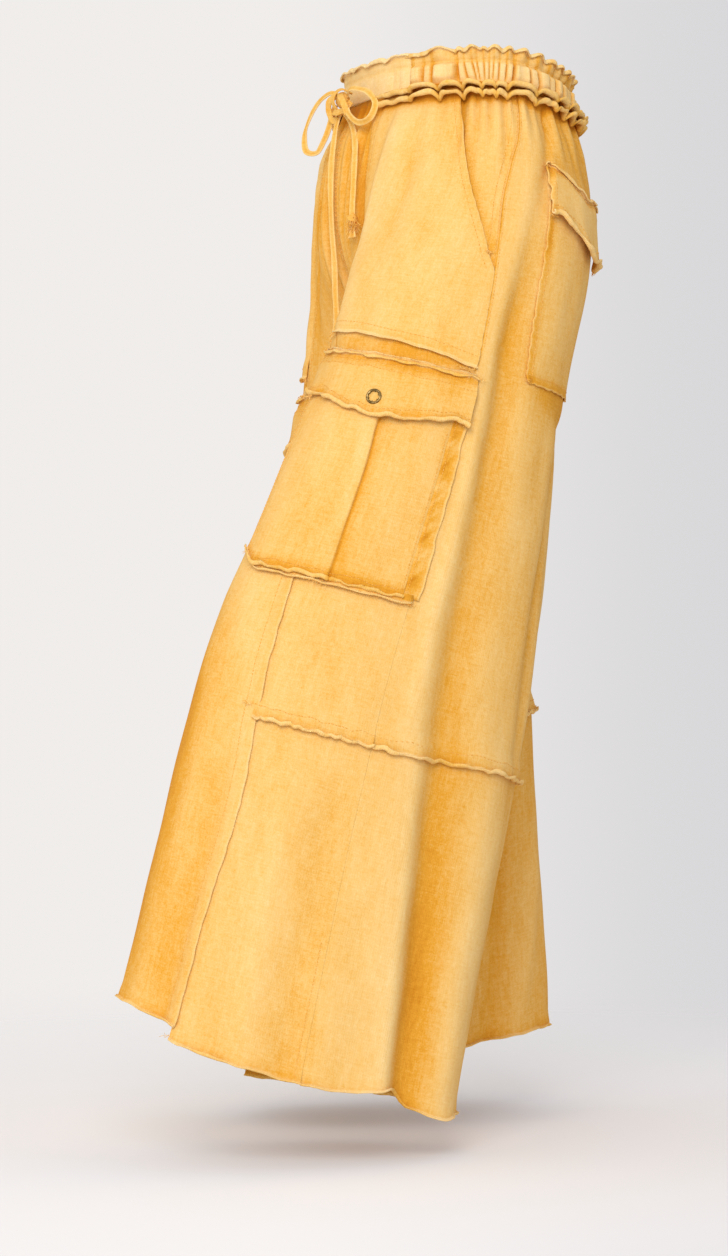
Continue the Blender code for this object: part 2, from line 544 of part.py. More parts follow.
# ---------------------------------------------------------------- the drawstring
def cord(name, points, steps):
    """A poly spline read from one smooth curve through the route's points, made round."""
    route = np.array(points, float)
    reach = np.concatenate([[0], np.cumsum(np.linalg.norm(np.diff(route, axis=0), axis=1))])
    tangent = np.gradient(route, reach, axis=0)
    curve = bpy.data.curves.new(name, "CURVE")
    curve.dimensions = "3D"
    curve.bevel_depth = CORD_RADIUS
    curve.bevel_resolution = 2
    curve.use_fill_caps = True
    spline = curve.splines.new("POLY")
    spline.points.add(steps)
    for point, at in zip(spline.points, np.linspace(0, reach[-1], steps + 1)):
        i = min(max(int(np.searchsorted(reach, at, side="right")) - 1, 0), len(route) - 2)
        span = reach[i + 1] - reach[i]
        t = (at - reach[i]) / span
        place = route[i] * (1 + 2 * t) * (1 - t) ** 2 + route[i + 1] * t * t * (3 - 2 * t)
        place += span * (tangent[i] * t * (1 - t) ** 2 - tangent[i + 1] * t * t * (1 - t))
        point.co = (*place, 1.0)
    add_object(name, curve, cord_knit)


def make_drawstring():
    mesh = bpy.data.meshes.new("drawstring_knot")
    made = bmesh.new()
    at_knot = Matrix.Translation(KNOT["place"]) @ Matrix.Diagonal((*KNOT["size"], 1.0))
    bmesh.ops.create_uvsphere(made, u_segments=14, v_segments=8, radius=1.0, matrix=at_knot)
    made.to_mesh(mesh)
    made.free()
    mesh.shade_smooth()
    add_object("drawstring_knot", mesh, cord_knit)
    for name, points in LOOPS.items():
        cord(name, points, 20)
    for name, points in TAILS.items():
        cord(name, points, 20)


# ---------------------------------------------------------------- start
for old in list(bpy.data.objects):
    bpy.data.objects.remove(old, do_unlink=True)
garment = bpy.data.collections.new("cargo_trousers")
bpy.context.scene.collection.children.link(garment)
terry_knit = material("washed_terry", (0.86, 0.47, 0.12), 0.9)
cord_knit = material("drawstring_strip", (0.78, 0.42, 0.11), 0.9)
brass = material("antique_brass", (0.42, 0.33, 0.20), 0.35, 1.0)

for leg_key in LEGS:
    make_leg(leg_key)
    make_cargo_pocket(leg_key)
    make_snap(leg_key)
    make_seat_pocket(leg_key)
make_waist()
make_drawstring()
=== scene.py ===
from math import ceil, pi, radians

import bmesh
import bpy
import numpy as np
from mathutils import Matrix, Vector


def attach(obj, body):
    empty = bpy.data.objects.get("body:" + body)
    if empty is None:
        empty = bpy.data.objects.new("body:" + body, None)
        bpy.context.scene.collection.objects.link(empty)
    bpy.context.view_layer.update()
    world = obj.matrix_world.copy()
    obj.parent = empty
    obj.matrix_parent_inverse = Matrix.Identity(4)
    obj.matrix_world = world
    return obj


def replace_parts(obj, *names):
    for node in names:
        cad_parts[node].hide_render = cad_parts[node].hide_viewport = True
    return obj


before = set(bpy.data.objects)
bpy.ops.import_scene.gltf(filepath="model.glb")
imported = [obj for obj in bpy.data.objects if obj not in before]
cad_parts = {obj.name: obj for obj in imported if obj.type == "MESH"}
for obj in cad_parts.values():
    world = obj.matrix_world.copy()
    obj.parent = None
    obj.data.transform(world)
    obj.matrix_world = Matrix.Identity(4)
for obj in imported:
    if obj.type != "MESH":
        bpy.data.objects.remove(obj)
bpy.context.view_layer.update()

# Wide-leg cargo pants in mineral-washed terry knit, worn, with raw rolled edges at every lap.
# All cloth lies on one surface for each leg, read from tables:
#   around  0 at the centre front and inseam, about 0.485 at the side seam, 1 at the centre back
#   drop    metres below the waist, along the hang of the cloth
#   lift    metres out from that surface
print("frame loaded,", len(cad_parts), "solids")

studio = {
    "cameraPlace": (3.352, -1.315, -0.514),
    "cameraTurn": 70.0,              # degrees round the vertical
    "lens": 107.3,
    "floorHeight": -0.995,
    "backdropLeft": "#F0EDEB",       # what the camera sees left and right of the pants
    "backdropRight": "#D8D7D9",
    "floorColour": "#F3F2F3",
    "fill": 0.92, "fillFront": 1.06,  # share of the backdrop's light that falls on the pants
    "keyPower": 103.0,
    "keyPlace": (3.5, -1.75, 1.2),
    "keySize": 2.0,
}


def linear(code):
    # an sRGB hex code as linear red, green, blue and alpha
    parts = [int(code[i:i + 2], 16) / 255 for i in (1, 3, 5)]
    return (*[c / 12.92 if c <= 0.04045 else ((c + 0.055) / 1.055) ** 2.4 for c in parts], 1.0)


camera = bpy.data.objects.new("camera", bpy.data.cameras.new("camera"))
bpy.context.scene.collection.objects.link(camera)
camera.location = studio["cameraPlace"]
camera.rotation_euler = (radians(90), 0, radians(studio["cameraTurn"]))
camera.data.lens = studio["lens"]
bpy.context.scene.camera = camera
bpy.context.scene.view_settings.view_transform = "Standard"

# the cut of the cloth, the same figures as the CAD
cut = {
    "wall": 0.0014,
    "seam": 0.00012,                 # half of the gap at a plain seam, as a share around
    "closed": 0.0006,                # how far the centre seams and inseams reach past their line
    "waistDipFront": 0.003, "waistDipBack": 0.019,
    "crotch": 0.262, "riseStart": 0.05,
    "headingTop": -0.0215, "bandTop": -0.0105, "bandLow": 0.013,
    "ruffleLow": 0.0265, "ruffleStart": 0.125, "elasticStart": 0.200,
    "panelTop": 0.0135, "thighSeam": 0.262, "kneeSeam": 0.617, "sideSeam": 0.485,
    "lap": 0.008, "lapLift": 0.0020, "slashEnd": 0.192,
    "hemStep": (0.350, 0.357),
}
hips = {
    "drop":  [-0.035, 0.000, 0.060, 0.130, 0.200, 0.262],
    "side":  [0.149, 0.150, 0.172, 0.188, 0.195, 0.196],
    "front": [0.100, 0.100, 0.121, 0.135, 0.133, 0.125],
    "back":  [0.098, 0.099, 0.113, 0.123, 0.128, 0.126],
}
legs = {
    "L": {
        "mirror": 1,
        "drop":  [0.000, 0.130, 0.200, 0.280, 0.360, 0.460, 0.580, 0.700, 0.840, 0.960],
        "tilt":  [0.0, 5.0, 8.0, 11.0, 13.0, 14.5, 15.0, 15.5, 16.0, 17.0],
        "front": [-0.110, -0.142, -0.160, -0.163, -0.192, -0.237, -0.290, -0.325, -0.362, -0.393],
        "back":  [0.100, 0.088, 0.075, 0.060, 0.050, 0.037, 0.018, -0.009, -0.042, -0.069],
        "outer": [0.170, 0.188, 0.195, 0.197, 0.198, 0.200, 0.204, 0.210, 0.220, 0.231],
        "inner": [0.000, 0.000, 0.000, 0.005, 0.010, 0.015, 0.020, 0.024, 0.028, 0.031],
    },
    "R": {
        "mirror": -1,
        "drop":  [0.000, 0.130, 0.200, 0.280, 0.360, 0.460, 0.580, 0.700, 0.840, 0.960],
        "tilt":  [0.0, -1.0, -2.0, -4.0, -6.0, -8.0, -9.0, -10.0, -11.0, -12.0],
        "front": [-0.110, -0.133, -0.125, -0.120, -0.128, -0.136, -0.146, -0.158, -0.172, -0.184],
        "back":  [0.100, 0.122, 0.128, 0.127, 0.124, 0.120, 0.119, 0.126, 0.139, 0.149],
        "outer": [0.170, 0.188, 0.195, 0.197, 0.198, 0.200, 0.204, 0.210, 0.220, 0.231],
        "inner": [0.000, 0.000, 0.000, 0.005, 0.010, 0.015, 0.020, 0.024, 0.028, 0.031],
    },
}
princess = {
    "drop":   [0.000, 0.140, 0.200, 0.263, 0.350, 0.500, 0.620, 0.700, 0.800, 0.930],
    "around": [0.120, 0.160, 0.215, 0.247, 0.300, 0.354, 0.366, 0.371, 0.361, 0.354],
}
slash = {
    "drop":   [0.000, 0.030, 0.060, 0.100, 0.134, 0.165, 0.179, 0.192, 0.215, 0.262, 0.300],
    "around": [0.343, 0.345, 0.357, 0.384, 0.418, 0.452, 0.466, 0.480, 0.485, 0.490, 0.485],
}
sideSeam = {                         # it wanders over the hip, up to 15 mm off the CAD's straight one
    "drop":   [0.000, 0.030, 0.067, 0.085, 0.120, 0.157, 0.192, 0.227, 0.262, 0.300, 0.640],
    "around": [0.497, 0.495, 0.482, 0.470, 0.461, 0.469, 0.480, 0.487, 0.490, 0.485, 0.485],
}
hipEdge = {                          # where the hip turns to the front
    "drop":   [0.022, 0.050, 0.090, 0.135, 0.180, 0.220, 0.262, 0.330],
    "around": [0.186, 0.188, 0.188, 0.194, 0.218, 0.242, 0.262, 0.290],
}
hem = {
    "L": {"around": [0.00, 0.05, 0.12, 0.21, 0.30, 0.350, 0.357, 0.41, 0.485, 0.53, 0.578, 0.605,
                     0.64, 0.69, 0.82, 1.00],
          "low": [0.926, 0.914, 0.896, 0.890, 0.896, 0.903, 0.914, 0.920, 0.921, 0.917, 0.905, 0.917,
                  0.920, 0.912, 0.912, 0.931]},
    "R": {"around": [0.00, 0.10, 0.21, 0.30, 0.350, 0.357, 0.41, 0.485, 0.53, 0.575, 0.63, 0.74,
                     0.86, 1.00],
          "low": [0.924, 0.916, 0.902, 0.898, 0.902, 0.912, 0.917, 0.918, 0.912, 0.908, 0.924, 0.945,
                  0.936, 0.924]},
}
# creases and hollows: each follows a line down one leg or both, out above 0 and in below,
# and falls away over its front and back widths
folds = [
    {"legs": "L", "front": 0.022, "back": 0.048,      # the long trough behind the side seam
     "drop":   [0.120, 0.200, 0.300, 0.420, 0.550, 0.650, 0.750, 0.850, 0.960],
     "around": [0.526, 0.528, 0.532, 0.540, 0.547, 0.558, 0.572, 0.584, 0.590],
     "height": [0.000, -.0065, -.0085, -.0085, -.0085, -.0105, -.0120, -.0130, -.0130]},
    {"legs": "L", "front": 0.036, "back": 0.020,      # the ridge in front of it
     "drop":   [0.150, 0.300, 0.450, 0.600, 0.750, 0.960],
     "around": [0.506, 0.508, 0.512, 0.520, 0.538, 0.562],
     "height": [0.000, 0.0025, 0.0030, 0.0035, 0.0045, 0.0055]},
    {"legs": "L", "front": 0.040, "back": 0.060,
     "drop":   [0.560, 0.700, 0.960], "around": [0.620, 0.632, 0.640],
     "height": [0.000, 0.0060, 0.0110]},
    {"legs": "L", "front": 0.030, "back": 0.030,
     "drop":   [0.640, 0.720, 0.960], "around": [0.452, 0.462, 0.468],
     "height": [0.000, -.0030, -.0050]},
    {"legs": "L", "front": 0.045, "back": 0.022,
     "drop":   [0.560, 0.700, 0.850, 0.960], "around": [0.340, 0.344, 0.338, 0.334],
     "height": [0.000, -.0055, -.0070, -.0060]},
    {"legs": "L", "front": 0.060, "back": 0.050,
     "drop":   [0.520, 0.700, 0.960], "around": [0.780, 0.790, 0.800],
     "height": [0.000, -.0080, -.0120]},
    {"legs": "L", "front": 0.055, "back": 0.055,
     "drop":   [0.450, 0.650, 0.960], "around": [0.150, 0.145, 0.140],
     "height": [0.000, -.0070, -.0100]},
    {"legs": "LR", "front": 0.026, "back": 0.019,     # slanted crease in front of the princess seam
     "drop":   [0.030, 0.060, 0.100, 0.140, 0.185], "around": [0.092, 0.102, 0.119, 0.142, 0.174],
     "height": [0.000, -.0045, -.0062, -.0045, 0.000]},
    {"legs": "R", "front": 0.026, "back": 0.050,
     "drop":   [0.120, 0.220, 0.400, 0.650, 0.960], "around": [0.528, 0.530, 0.536, 0.548, 0.560],
     "height": [0.000, -.0065, -.0080, -.0090, -.0100]},
    {"legs": "R", "front": 0.050, "back": 0.060,
     "drop":   [0.480, 0.700, 0.960], "around": [0.600, 0.622, 0.640],
     "height": [0.000, 0.0070, 0.0110]},
    {"legs": "R", "front": 0.050, "back": 0.045,
     "drop":   [0.420, 0.650, 0.960], "around": [0.740, 0.752, 0.760],
     "height": [0.000, -.0070, -.0100]},
    {"legs": "R", "front": 0.050, "back": 0.060,
     "drop":   [0.500, 0.700, 0.960], "around": [0.235, 0.245, 0.250],
     "height": [0.000, -.0070, -.0100]},
    {"legs": "R", "front": 0.045, "back": 0.050,
     "drop":   [0.520, 0.700, 0.960], "around": [0.425, 0.420, 0.412],
     "height": [0.000, 0.0055, 0.0080]},
    # finer ones, which the CAD leaves out
    {"legs": "L", "front": 0.010, "back": 0.009,      # sharp crest on the long ridge
     "drop":   [0.290, 0.360, 0.520, 0.600], "around": [0.506, 0.510, 0.514, 0.520],
     "height": [0.000, 0.0012, 0.0013, 0.000]},
    {"legs": "L", "front": 0.012, "back": 0.012,
     "drop":   [0.560, 0.680, 0.860, 0.940], "around": [0.524, 0.538, 0.556, 0.562],
     "height": [0.000, 0.0016, 0.0022, 0.0016]},
    {"legs": "L", "front": 0.014, "back": 0.016,      # soft vertical bands on the side
     "drop":   [0.330, 0.400, 0.520, 0.600], "around": [0.496, 0.498, 0.500, 0.500],
     "height": [0.000, -.0009, -.0009, 0.000]},
    {"legs": "L", "front": 0.016, "back": 0.020,
     "drop":   [0.640, 0.720, 0.900, 0.950], "around": [0.415, 0.420, 0.426, 0.430],
     "height": [0.000, 0.0012, 0.0018, 0.0014]},
    {"legs": "LR", "front": 0.011, "back": 0.013,     # sharp bottom of the slanted crease
     "drop":   [0.030, 0.060, 0.100, 0.140, 0.190, 0.240],
     "around": [0.096, 0.108, 0.129, 0.153, 0.184, 0.210],
     "height": [0.000, -.0034, -.0040, -.0036, -.0022, 0.000]},
    {"legs": "LR", "front": 0.018, "back": 0.060, **hipEdge,
     "height": [0.000, 0.0052, 0.0068, 0.0062, 0.0050, 0.0036, 0.0018, 0.000]},
    {"legs": "R", "front": 0.090, "back": 0.120,      # the far side of the front hangs flatter
     "drop":   [0.060, 0.120, 0.180, 0.230, 0.340], "around": [0.190, 0.205, 0.250, 0.270, 0.290],
     "height": [0.000, -.0085, -.0085, -.0050, 0.000]},
    {"legs": "LR", "front": 0.034, "back": 0.009,     # tuck that runs down to the seat flap
     "drop":   [0.018, 0.040, 0.079, 0.109, 0.150], "around": [0.592, 0.588, 0.568, 0.550, 0.540],
     "height": [0.000, -.0052, -.0050, -.0032, 0.000]},
    {"legs": "L", "front": 0.140, "back": 0.140,
     "drop":   [0.520, 0.640, 0.960], "around": [0.190, 0.190, 0.190],
     "height": [0.000, -.0042, -.0042]},
    {"legs": "LR", "front": 0.016, "back": 0.020,     # faint streak beside the slanted crease
     "drop":   [0.022, 0.050, 0.100, 0.140], "around": [0.178, 0.186, 0.198, 0.210],
     "height": [0.000, -.0014, -.0013, 0.000]},
    {"legs": "LR", "front": 0.014, "back": 0.022,
     "drop":   [0.020, 0.045, 0.120, 0.220], "around": [0.240, 0.246, 0.262, 0.290],
     "height": [0.000, -.0009, -.0012, 0.000]},
    {"legs": "LR", "front": 0.020, "back": 0.022,     # drag lines on the seat
     "drop":   [0.150, 0.200, 0.262, 0.330], "around": [0.900, 0.890, 0.868, 0.850],
     "height": [0.000, -.0025, -.0030, 0.000]},
    {"legs": "LR", "front": 0.016, "back": 0.018,
     "drop":   [0.200, 0.262, 0.330, 0.400], "around": [0.945, 0.930, 0.905, 0.890],
     "height": [0.000, -.0028, -.0024, 0.000]},
    {"legs": "LR", "front": 0.018, "back": 0.016,     # drag lines at the crotch
     "drop":   [0.190, 0.250, 0.310, 0.380], "around": [0.050, 0.066, 0.090, 0.110],
     "height": [0.000, -.0026, -.0026, 0.000]},
    {"legs": "LR", "front": 0.055, "back": 0.036,     # drags under the seat, and slack behind the knee
     "drop":   [0.285, 0.315, 0.350, 0.385, 0.420], "around": [0.660, 0.720, 0.790, 0.850, 0.900],
     "height": [0.000, -.0042, -.0052, -.0040, 0.000]},
    {"legs": "LR", "front": 0.030, "back": 0.026,
     "drop":   [0.300, 0.360, 0.480, 0.600, 0.680], "around": [0.690, 0.684, 0.676, 0.680, 0.690],
     "height": [0.000, -.0040, -.0060, -.0040, 0.000]},
    {"legs": "LR", "front": 0.022, "back": 0.030,
     "drop":   [0.330, 0.420, 0.540, 0.640], "around": [0.740, 0.744, 0.752, 0.760],
     "height": [0.000, 0.0040, 0.0036, 0.000]},
    {"legs": "LR", "front": 0.030, "back": 0.024,
     "drop":   [0.470, 0.510, 0.550, 0.590], "around": [0.930, 0.890, 0.850, 0.810],
     "height": [0.000, -.0036, -.0036, 0.000]},
    {"legs": "LR", "front": 0.026, "back": 0.040,
     "drop":   [0.090, 0.140, 0.200, 0.262], "around": [0.840, 0.860, 0.890, 0.925],
     "height": [0.000, -.0022, -.0030, 0.000]},
    {"legs": "R", "front": 0.022, "back": 0.020,
     "drop":   [0.500, 0.560, 0.700, 0.860, 0.950], "around": [0.330, 0.326, 0.334, 0.342, 0.346],
     "height": [0.000, -.0038, -.0050, -.0044, -.0030]},
    {"legs": "R", "front": 0.018, "back": 0.020,
     "drop":   [0.540, 0.640, 0.800, 0.950], "around": [0.480, 0.476, 0.470, 0.462],
     "height": [0.000, -.0030, -.0046, -.0040]},
    {"legs": "R", "front": 0.020, "back": 0.030,      # slanting fold on the far leg's calf
     "drop":   [0.700, 0.780, 0.860, 0.930], "around": [0.830, 0.842, 0.870, 0.896],
     "height": [0.000, 0.0032, 0.0034, 0.0010]},
    {"legs": "R", "front": 0.024, "back": 0.020,
     "drop":   [0.560, 0.660, 0.800, 0.930], "around": [0.900, 0.905, 0.920, 0.935],
     "height": [0.000, -.0040, -.0050, -.0050]},
]
# gathers that hang from the waist seam: where, how far down, how deep and how wide
gathers = {
    "top": 0.010, "full": 0.032,
    "main": {
        "around": [0.038, 0.076, 0.560, 0.635, 0.710, 0.790, 0.870, 0.945],
        "low":    [0.200, 0.190, 0.090, 0.110, 0.110, 0.110, 0.130, 0.150],
        "height": [-.0045, -.0048, -.0030, -.0032, -.0035, -.0035, -.0035, -.0030],
        "width":  [0.018, 0.018, 0.022, 0.028, 0.030, 0.030, 0.030, 0.028],
    },
    "fine": {
        "around": [0.012, 0.030, 0.050, 0.066, 0.084, 0.297, 0.350, 0.372, 0.386, 0.402, 0.418,
                   0.437, 0.456, 0.470, 0.508, 0.532, 0.588, 0.612, 0.662, 0.686, 0.740, 0.764,
                   0.822, 0.846, 0.900, 0.922, 0.968],
        "low":    [0.420, 0.300, 0.380, 0.220, 0.190, 0.080, 0.150, 0.075, 0.110, 0.080, 0.110,
                   0.075, 0.120, 0.080, 0.110, 0.075, 0.100, 0.080, 0.110, 0.080, 0.100, 0.080,
                   0.110, 0.080, 0.110, 0.080, 0.120],
        "height": [-.0040, 0.0026, -.0048, 0.0026, -.0038, -.0022, -.0040, 0.0026, -.0036, 0.0022,
                   -.0034, 0.0024, -.0036, 0.0020, 0.0022, -.0030, -.0030, 0.0024, -.0034, 0.0024,
                   -.0030, 0.0024, -.0034, 0.0024, -.0032, 0.0024, -.0036],
        "width":  [0.009, 0.009, 0.011, 0.009, 0.012, 0.016, 0.009, 0.009, 0.008, 0.008, 0.008,
                   0.009, 0.009, 0.008, 0.012, 0.011, 0.011, 0.012, 0.011, 0.012, 0.011, 0.012,
                   0.011, 0.012, 0.011, 0.012, 0.011],
    },
}


def smooth(t):
    t = np.clip(t, 0.0, 1.0)
    return t * t * (3 - 2 * t)


def readTable(table, name, at, by="drop"):
    # a column of a table at any drop, as a smooth curve with no overshoot
    x, y = np.asarray(table[by], float), np.asarray(table[name], float)
    step = np.diff(x)
    slope = np.diff(y) / step
    tangent = np.zeros_like(y)
    same = slope[:-1] * slope[1:] > 0
    total = np.where(same, slope[:-1] + slope[1:], 1.0)
    tangent[1:-1] = np.where(same, 2 * slope[:-1] * slope[1:] / total, 0.0)
    tangent[0], tangent[-1] = slope[0], slope[-1]
    at = np.asarray(at, float)
    i = np.clip(np.searchsorted(x, at, side="right") - 1, 0, len(x) - 2)
    t = np.clip((at - x[i]) / step[i], 0.0, 1.0)
    ends = y[i] * (1 + 2 * t) * (1 - t) ** 2 + y[i + 1] * t * t * (3 - 2 * t)
    return ends + step[i] * (tangent[i] * t * (1 - t) ** 2 - tangent[i + 1] * t * t * (1 - t))


def waver(at, size, seed=0.0):
    # an uneven wave between about -1 and 1, with bumps about size metres apart
    turn = 2 * pi * np.asarray(at, float) / size
    return (0.50 * np.sin(turn + 1.7 * seed) + 0.33 * np.sin(0.61 * turn + 4.0 * seed + 1.0)
            + 0.27 * np.sin(1.73 * turn + 2.3 * seed + 2.0))


def plainSection(leg, around, drop):
    # half of the hip ring turns into the leg's own closed ring
    front, back = readTable(leg, "front", drop), readTable(leg, "back", drop)
    outer, inner = readTable(leg, "outer", drop), readTable(leg, "inner", drop)
    tilt = np.tan(np.radians(readTable(leg, "tilt", drop)))
    level = np.clip(drop, -0.035, cut["crotch"])
    own = smooth((drop - 0.03) / 0.27)
    midY, halfY = (front + back) / 2, (back - front) / 2
    midX, halfX = (outer + inner) / 2, (outer - inner) / 2
    turn = 2 * pi * around
    hipX = readTable(hips, "side", level) * np.sin(pi * around)
    reach = np.where(around < 0.5, readTable(hips, "front", level), readTable(hips, "back", level))
    x = (1 - own) * hipX + own * (midX - halfX * np.cos(turn))
    y = (1 - own) * -reach * np.cos(pi * around) + own * (midY - halfY * np.sin(turn))
    return np.stack([x, y, -drop - tilt * (y - midY * own)], -1)


def bareForm(leg, around, drop):
    # the leg before its folds: rows of x (outward), y, z
    around, drop = np.broadcast_arrays(np.asarray(around, float), np.asarray(drop, float))
    place = plainSection(leg, around, drop)
    level = np.minimum(drop, cut["crotch"])
    rise = cut["crotch"] - cut["riseStart"]
    sweep = np.clip((level - cut["riseStart"]) / rise, 0, 1) * pi / 2
    riseZ = -np.where(level < cut["riseStart"], level, cut["riseStart"] + rise * np.sin(sweep))
    fade = 1 - smooth((drop - cut["crotch"]) / 0.22)
    middle = (readTable(leg, "front", drop) + readTable(leg, "back", drop)) / 2
    crotchY = (readTable(leg, "front", cut["crotch"]) + readTable(leg, "back", cut["crotch"])) / 2
    inseam = np.stack([(1 - fade) * readTable(leg, "inner", drop), middle - fade * crotchY, -drop], -1)
    for end, reach in ((0.0, -readTable(hips, "front", level)), (1.0, readTable(hips, "back", level))):
        seam = np.stack([0 * level, reach * np.cos(sweep), riseZ], -1)
        target = np.where((drop > cut["crotch"])[..., None], inseam, seam)
        pull = 1 - smooth(np.abs(around - end) / 0.24)
        place = place + pull[..., None] * (target - plainSection(leg, end + 0 * drop, drop))
    dip = (cut["waistDipFront"] * (1 - smooth(around / 0.3))
           + cut["waistDipBack"] * smooth((around - 0.42) / 0.4))
    place[..., 2] -= dip * (1 - smooth(drop / 0.15))
    return place


def foldHeight(key, around, drop):
    height = np.zeros(np.broadcast(around, drop).shape)
    for fold in folds:
        if key in fold["legs"]:
            aside = around - readTable(fold, "around", drop)
            width = np.where(aside < 0, fold["front"], fold["back"])
            height += readTable(fold, "height", drop) * np.exp(-2.2 * (aside / width) ** 2)
    for table in (gathers["main"], gathers["fine"]):
        for middle, low, depth, width in zip(*table.values()):
            along = smooth((drop - gathers["top"]) / (gathers["full"] - gathers["top"]))
            along = along * (1 - smooth((drop - gathers["full"]) / (low - gathers["full"])))
            height += depth * along * np.exp(-2.2 * ((around - middle) / width) ** 2)
    # soft unevenness of cloth that has been washed and not pressed
    turn = 1.0 if key == "L" else 2.6
    soft = (0.00030 * np.sin(2 * pi * (9 * around + 3.1 * drop) + turn)
            + 0.00026 * np.sin(2 * pi * (15 * around - 5.3 * drop) + 2.1 * turn)
            + 0.00022 * np.sin(2 * pi * (5 * around + 11 * drop) + 3.3 * turn)
            + 0.00016 * np.sin(2 * pi * (23 * around + 8 * drop) + 4.1 * turn))
    height += soft * smooth((drop - 0.02) / 0.05)
    return height * smooth(around / 0.03) * smooth((1 - around) / 0.03)


def cloth(key, around, drop, lift=0.0):
    # a point on the folded cloth of one leg, moved out by lift
    leg = legs[key]
    around, drop = np.broadcast_arrays(np.asarray(around, float), np.asarray(drop, float))
    here = bareForm(leg, around, drop)
    along = bareForm(leg, around + 1e-4, drop) - bareForm(leg, around - 1e-4, drop)
    down = bareForm(leg, around, drop + 1e-4) - bareForm(leg, around, drop - 1e-4)
    out = np.cross(down, along)
    out /= np.maximum(np.linalg.norm(out, axis=-1, keepdims=True), 1e-12)
    place = here + out * (foldHeight(key, around, drop) + lift)[..., None]
    place[..., 0] = leg["mirror"] * np.maximum(place[..., 0], -0.0004)
    return place


def ring(way, drop, lift=0.0):
    # the same all round the waist: way runs 0 to 1 on the left half, then 1 to 2 on the right
    way, drop = np.broadcast_arrays(np.asarray(way, float), np.asarray(drop, float))
    lift = lift + 0 * way
    left = (way >= 0) & (way <= 1)
    around = np.where(left, way, np.where(way < 0, -way, 2 - way))
    return np.where(left[..., None], cloth("L", around, drop, lift), cloth("R", around, drop, lift))


def girth(key, around, drop):
    # metres of cloth for each whole unit around
    leg = legs[key]
    reach = bareForm(leg, around + 0.002, drop) - bareForm(leg, around - 0.002, drop)
    return np.linalg.norm(reach, axis=-1) / 0.004


def addNode(material, kind, inputs=None, **settings):
    # a node with its settings, and each input a value or another node's output
    node = material.node_tree.nodes.new(kind)
    for name, value in settings.items():
        setattr(node, name, value)
    for name, value in (inputs or {}).items():
        if isinstance(value, bpy.types.NodeSocket):
            material.node_tree.links.new(value, node.inputs[name])
        else:
            node.inputs[name].default_value = value
    return node


def newMaterial(name):
    material = bpy.data.materials.new(name)
    material.use_nodes = True
    return material, material.node_tree.nodes["Principled BSDF"]


def colourRamp(material, factor, stops):
    ramp = addNode(material, "ShaderNodeValToRGB", {"Fac": factor})
    while len(ramp.color_ramp.elements) < len(stops):
        ramp.color_ramp.elements.new(0.5)
    for element, (place, code) in zip(ramp.color_ramp.elements, stops):
        element.position = place
        element.color = linear(code)
    return ramp.outputs["Color"]


# Cotton terry knit, dyed in the piece and mineral washed: quite matt, with cloudy patches,
# paler where it rubs, and a faint grain of knit ribs. The tone it reads also holds painted
# shade in folds, seams and under laps, and painted highlights on crests.
washedCloth = {
    "patch": 11.0,         # cloudy patches about 90 mm wide, longer down the leg
    "smudge": 46.0,        # smudges about 20 mm
    "fleck": 240.0,        # flecks about 4 mm
    "loop": 760.0,         # knit loops are 0.7 mm, drawn at 1.3 mm so that they show
    "stops": [(0.00, "#C67E17"), (0.28, "#DC9C31"), (0.50, "#E5B564"), (0.72, "#EBC581"),
              (1.00, "#F3D7A2")],
    "hollow": 25.0,        # painted shade in a hollow and painted highlight on a crest: tone for each metre of depth
    "roughness": 0.94,
}


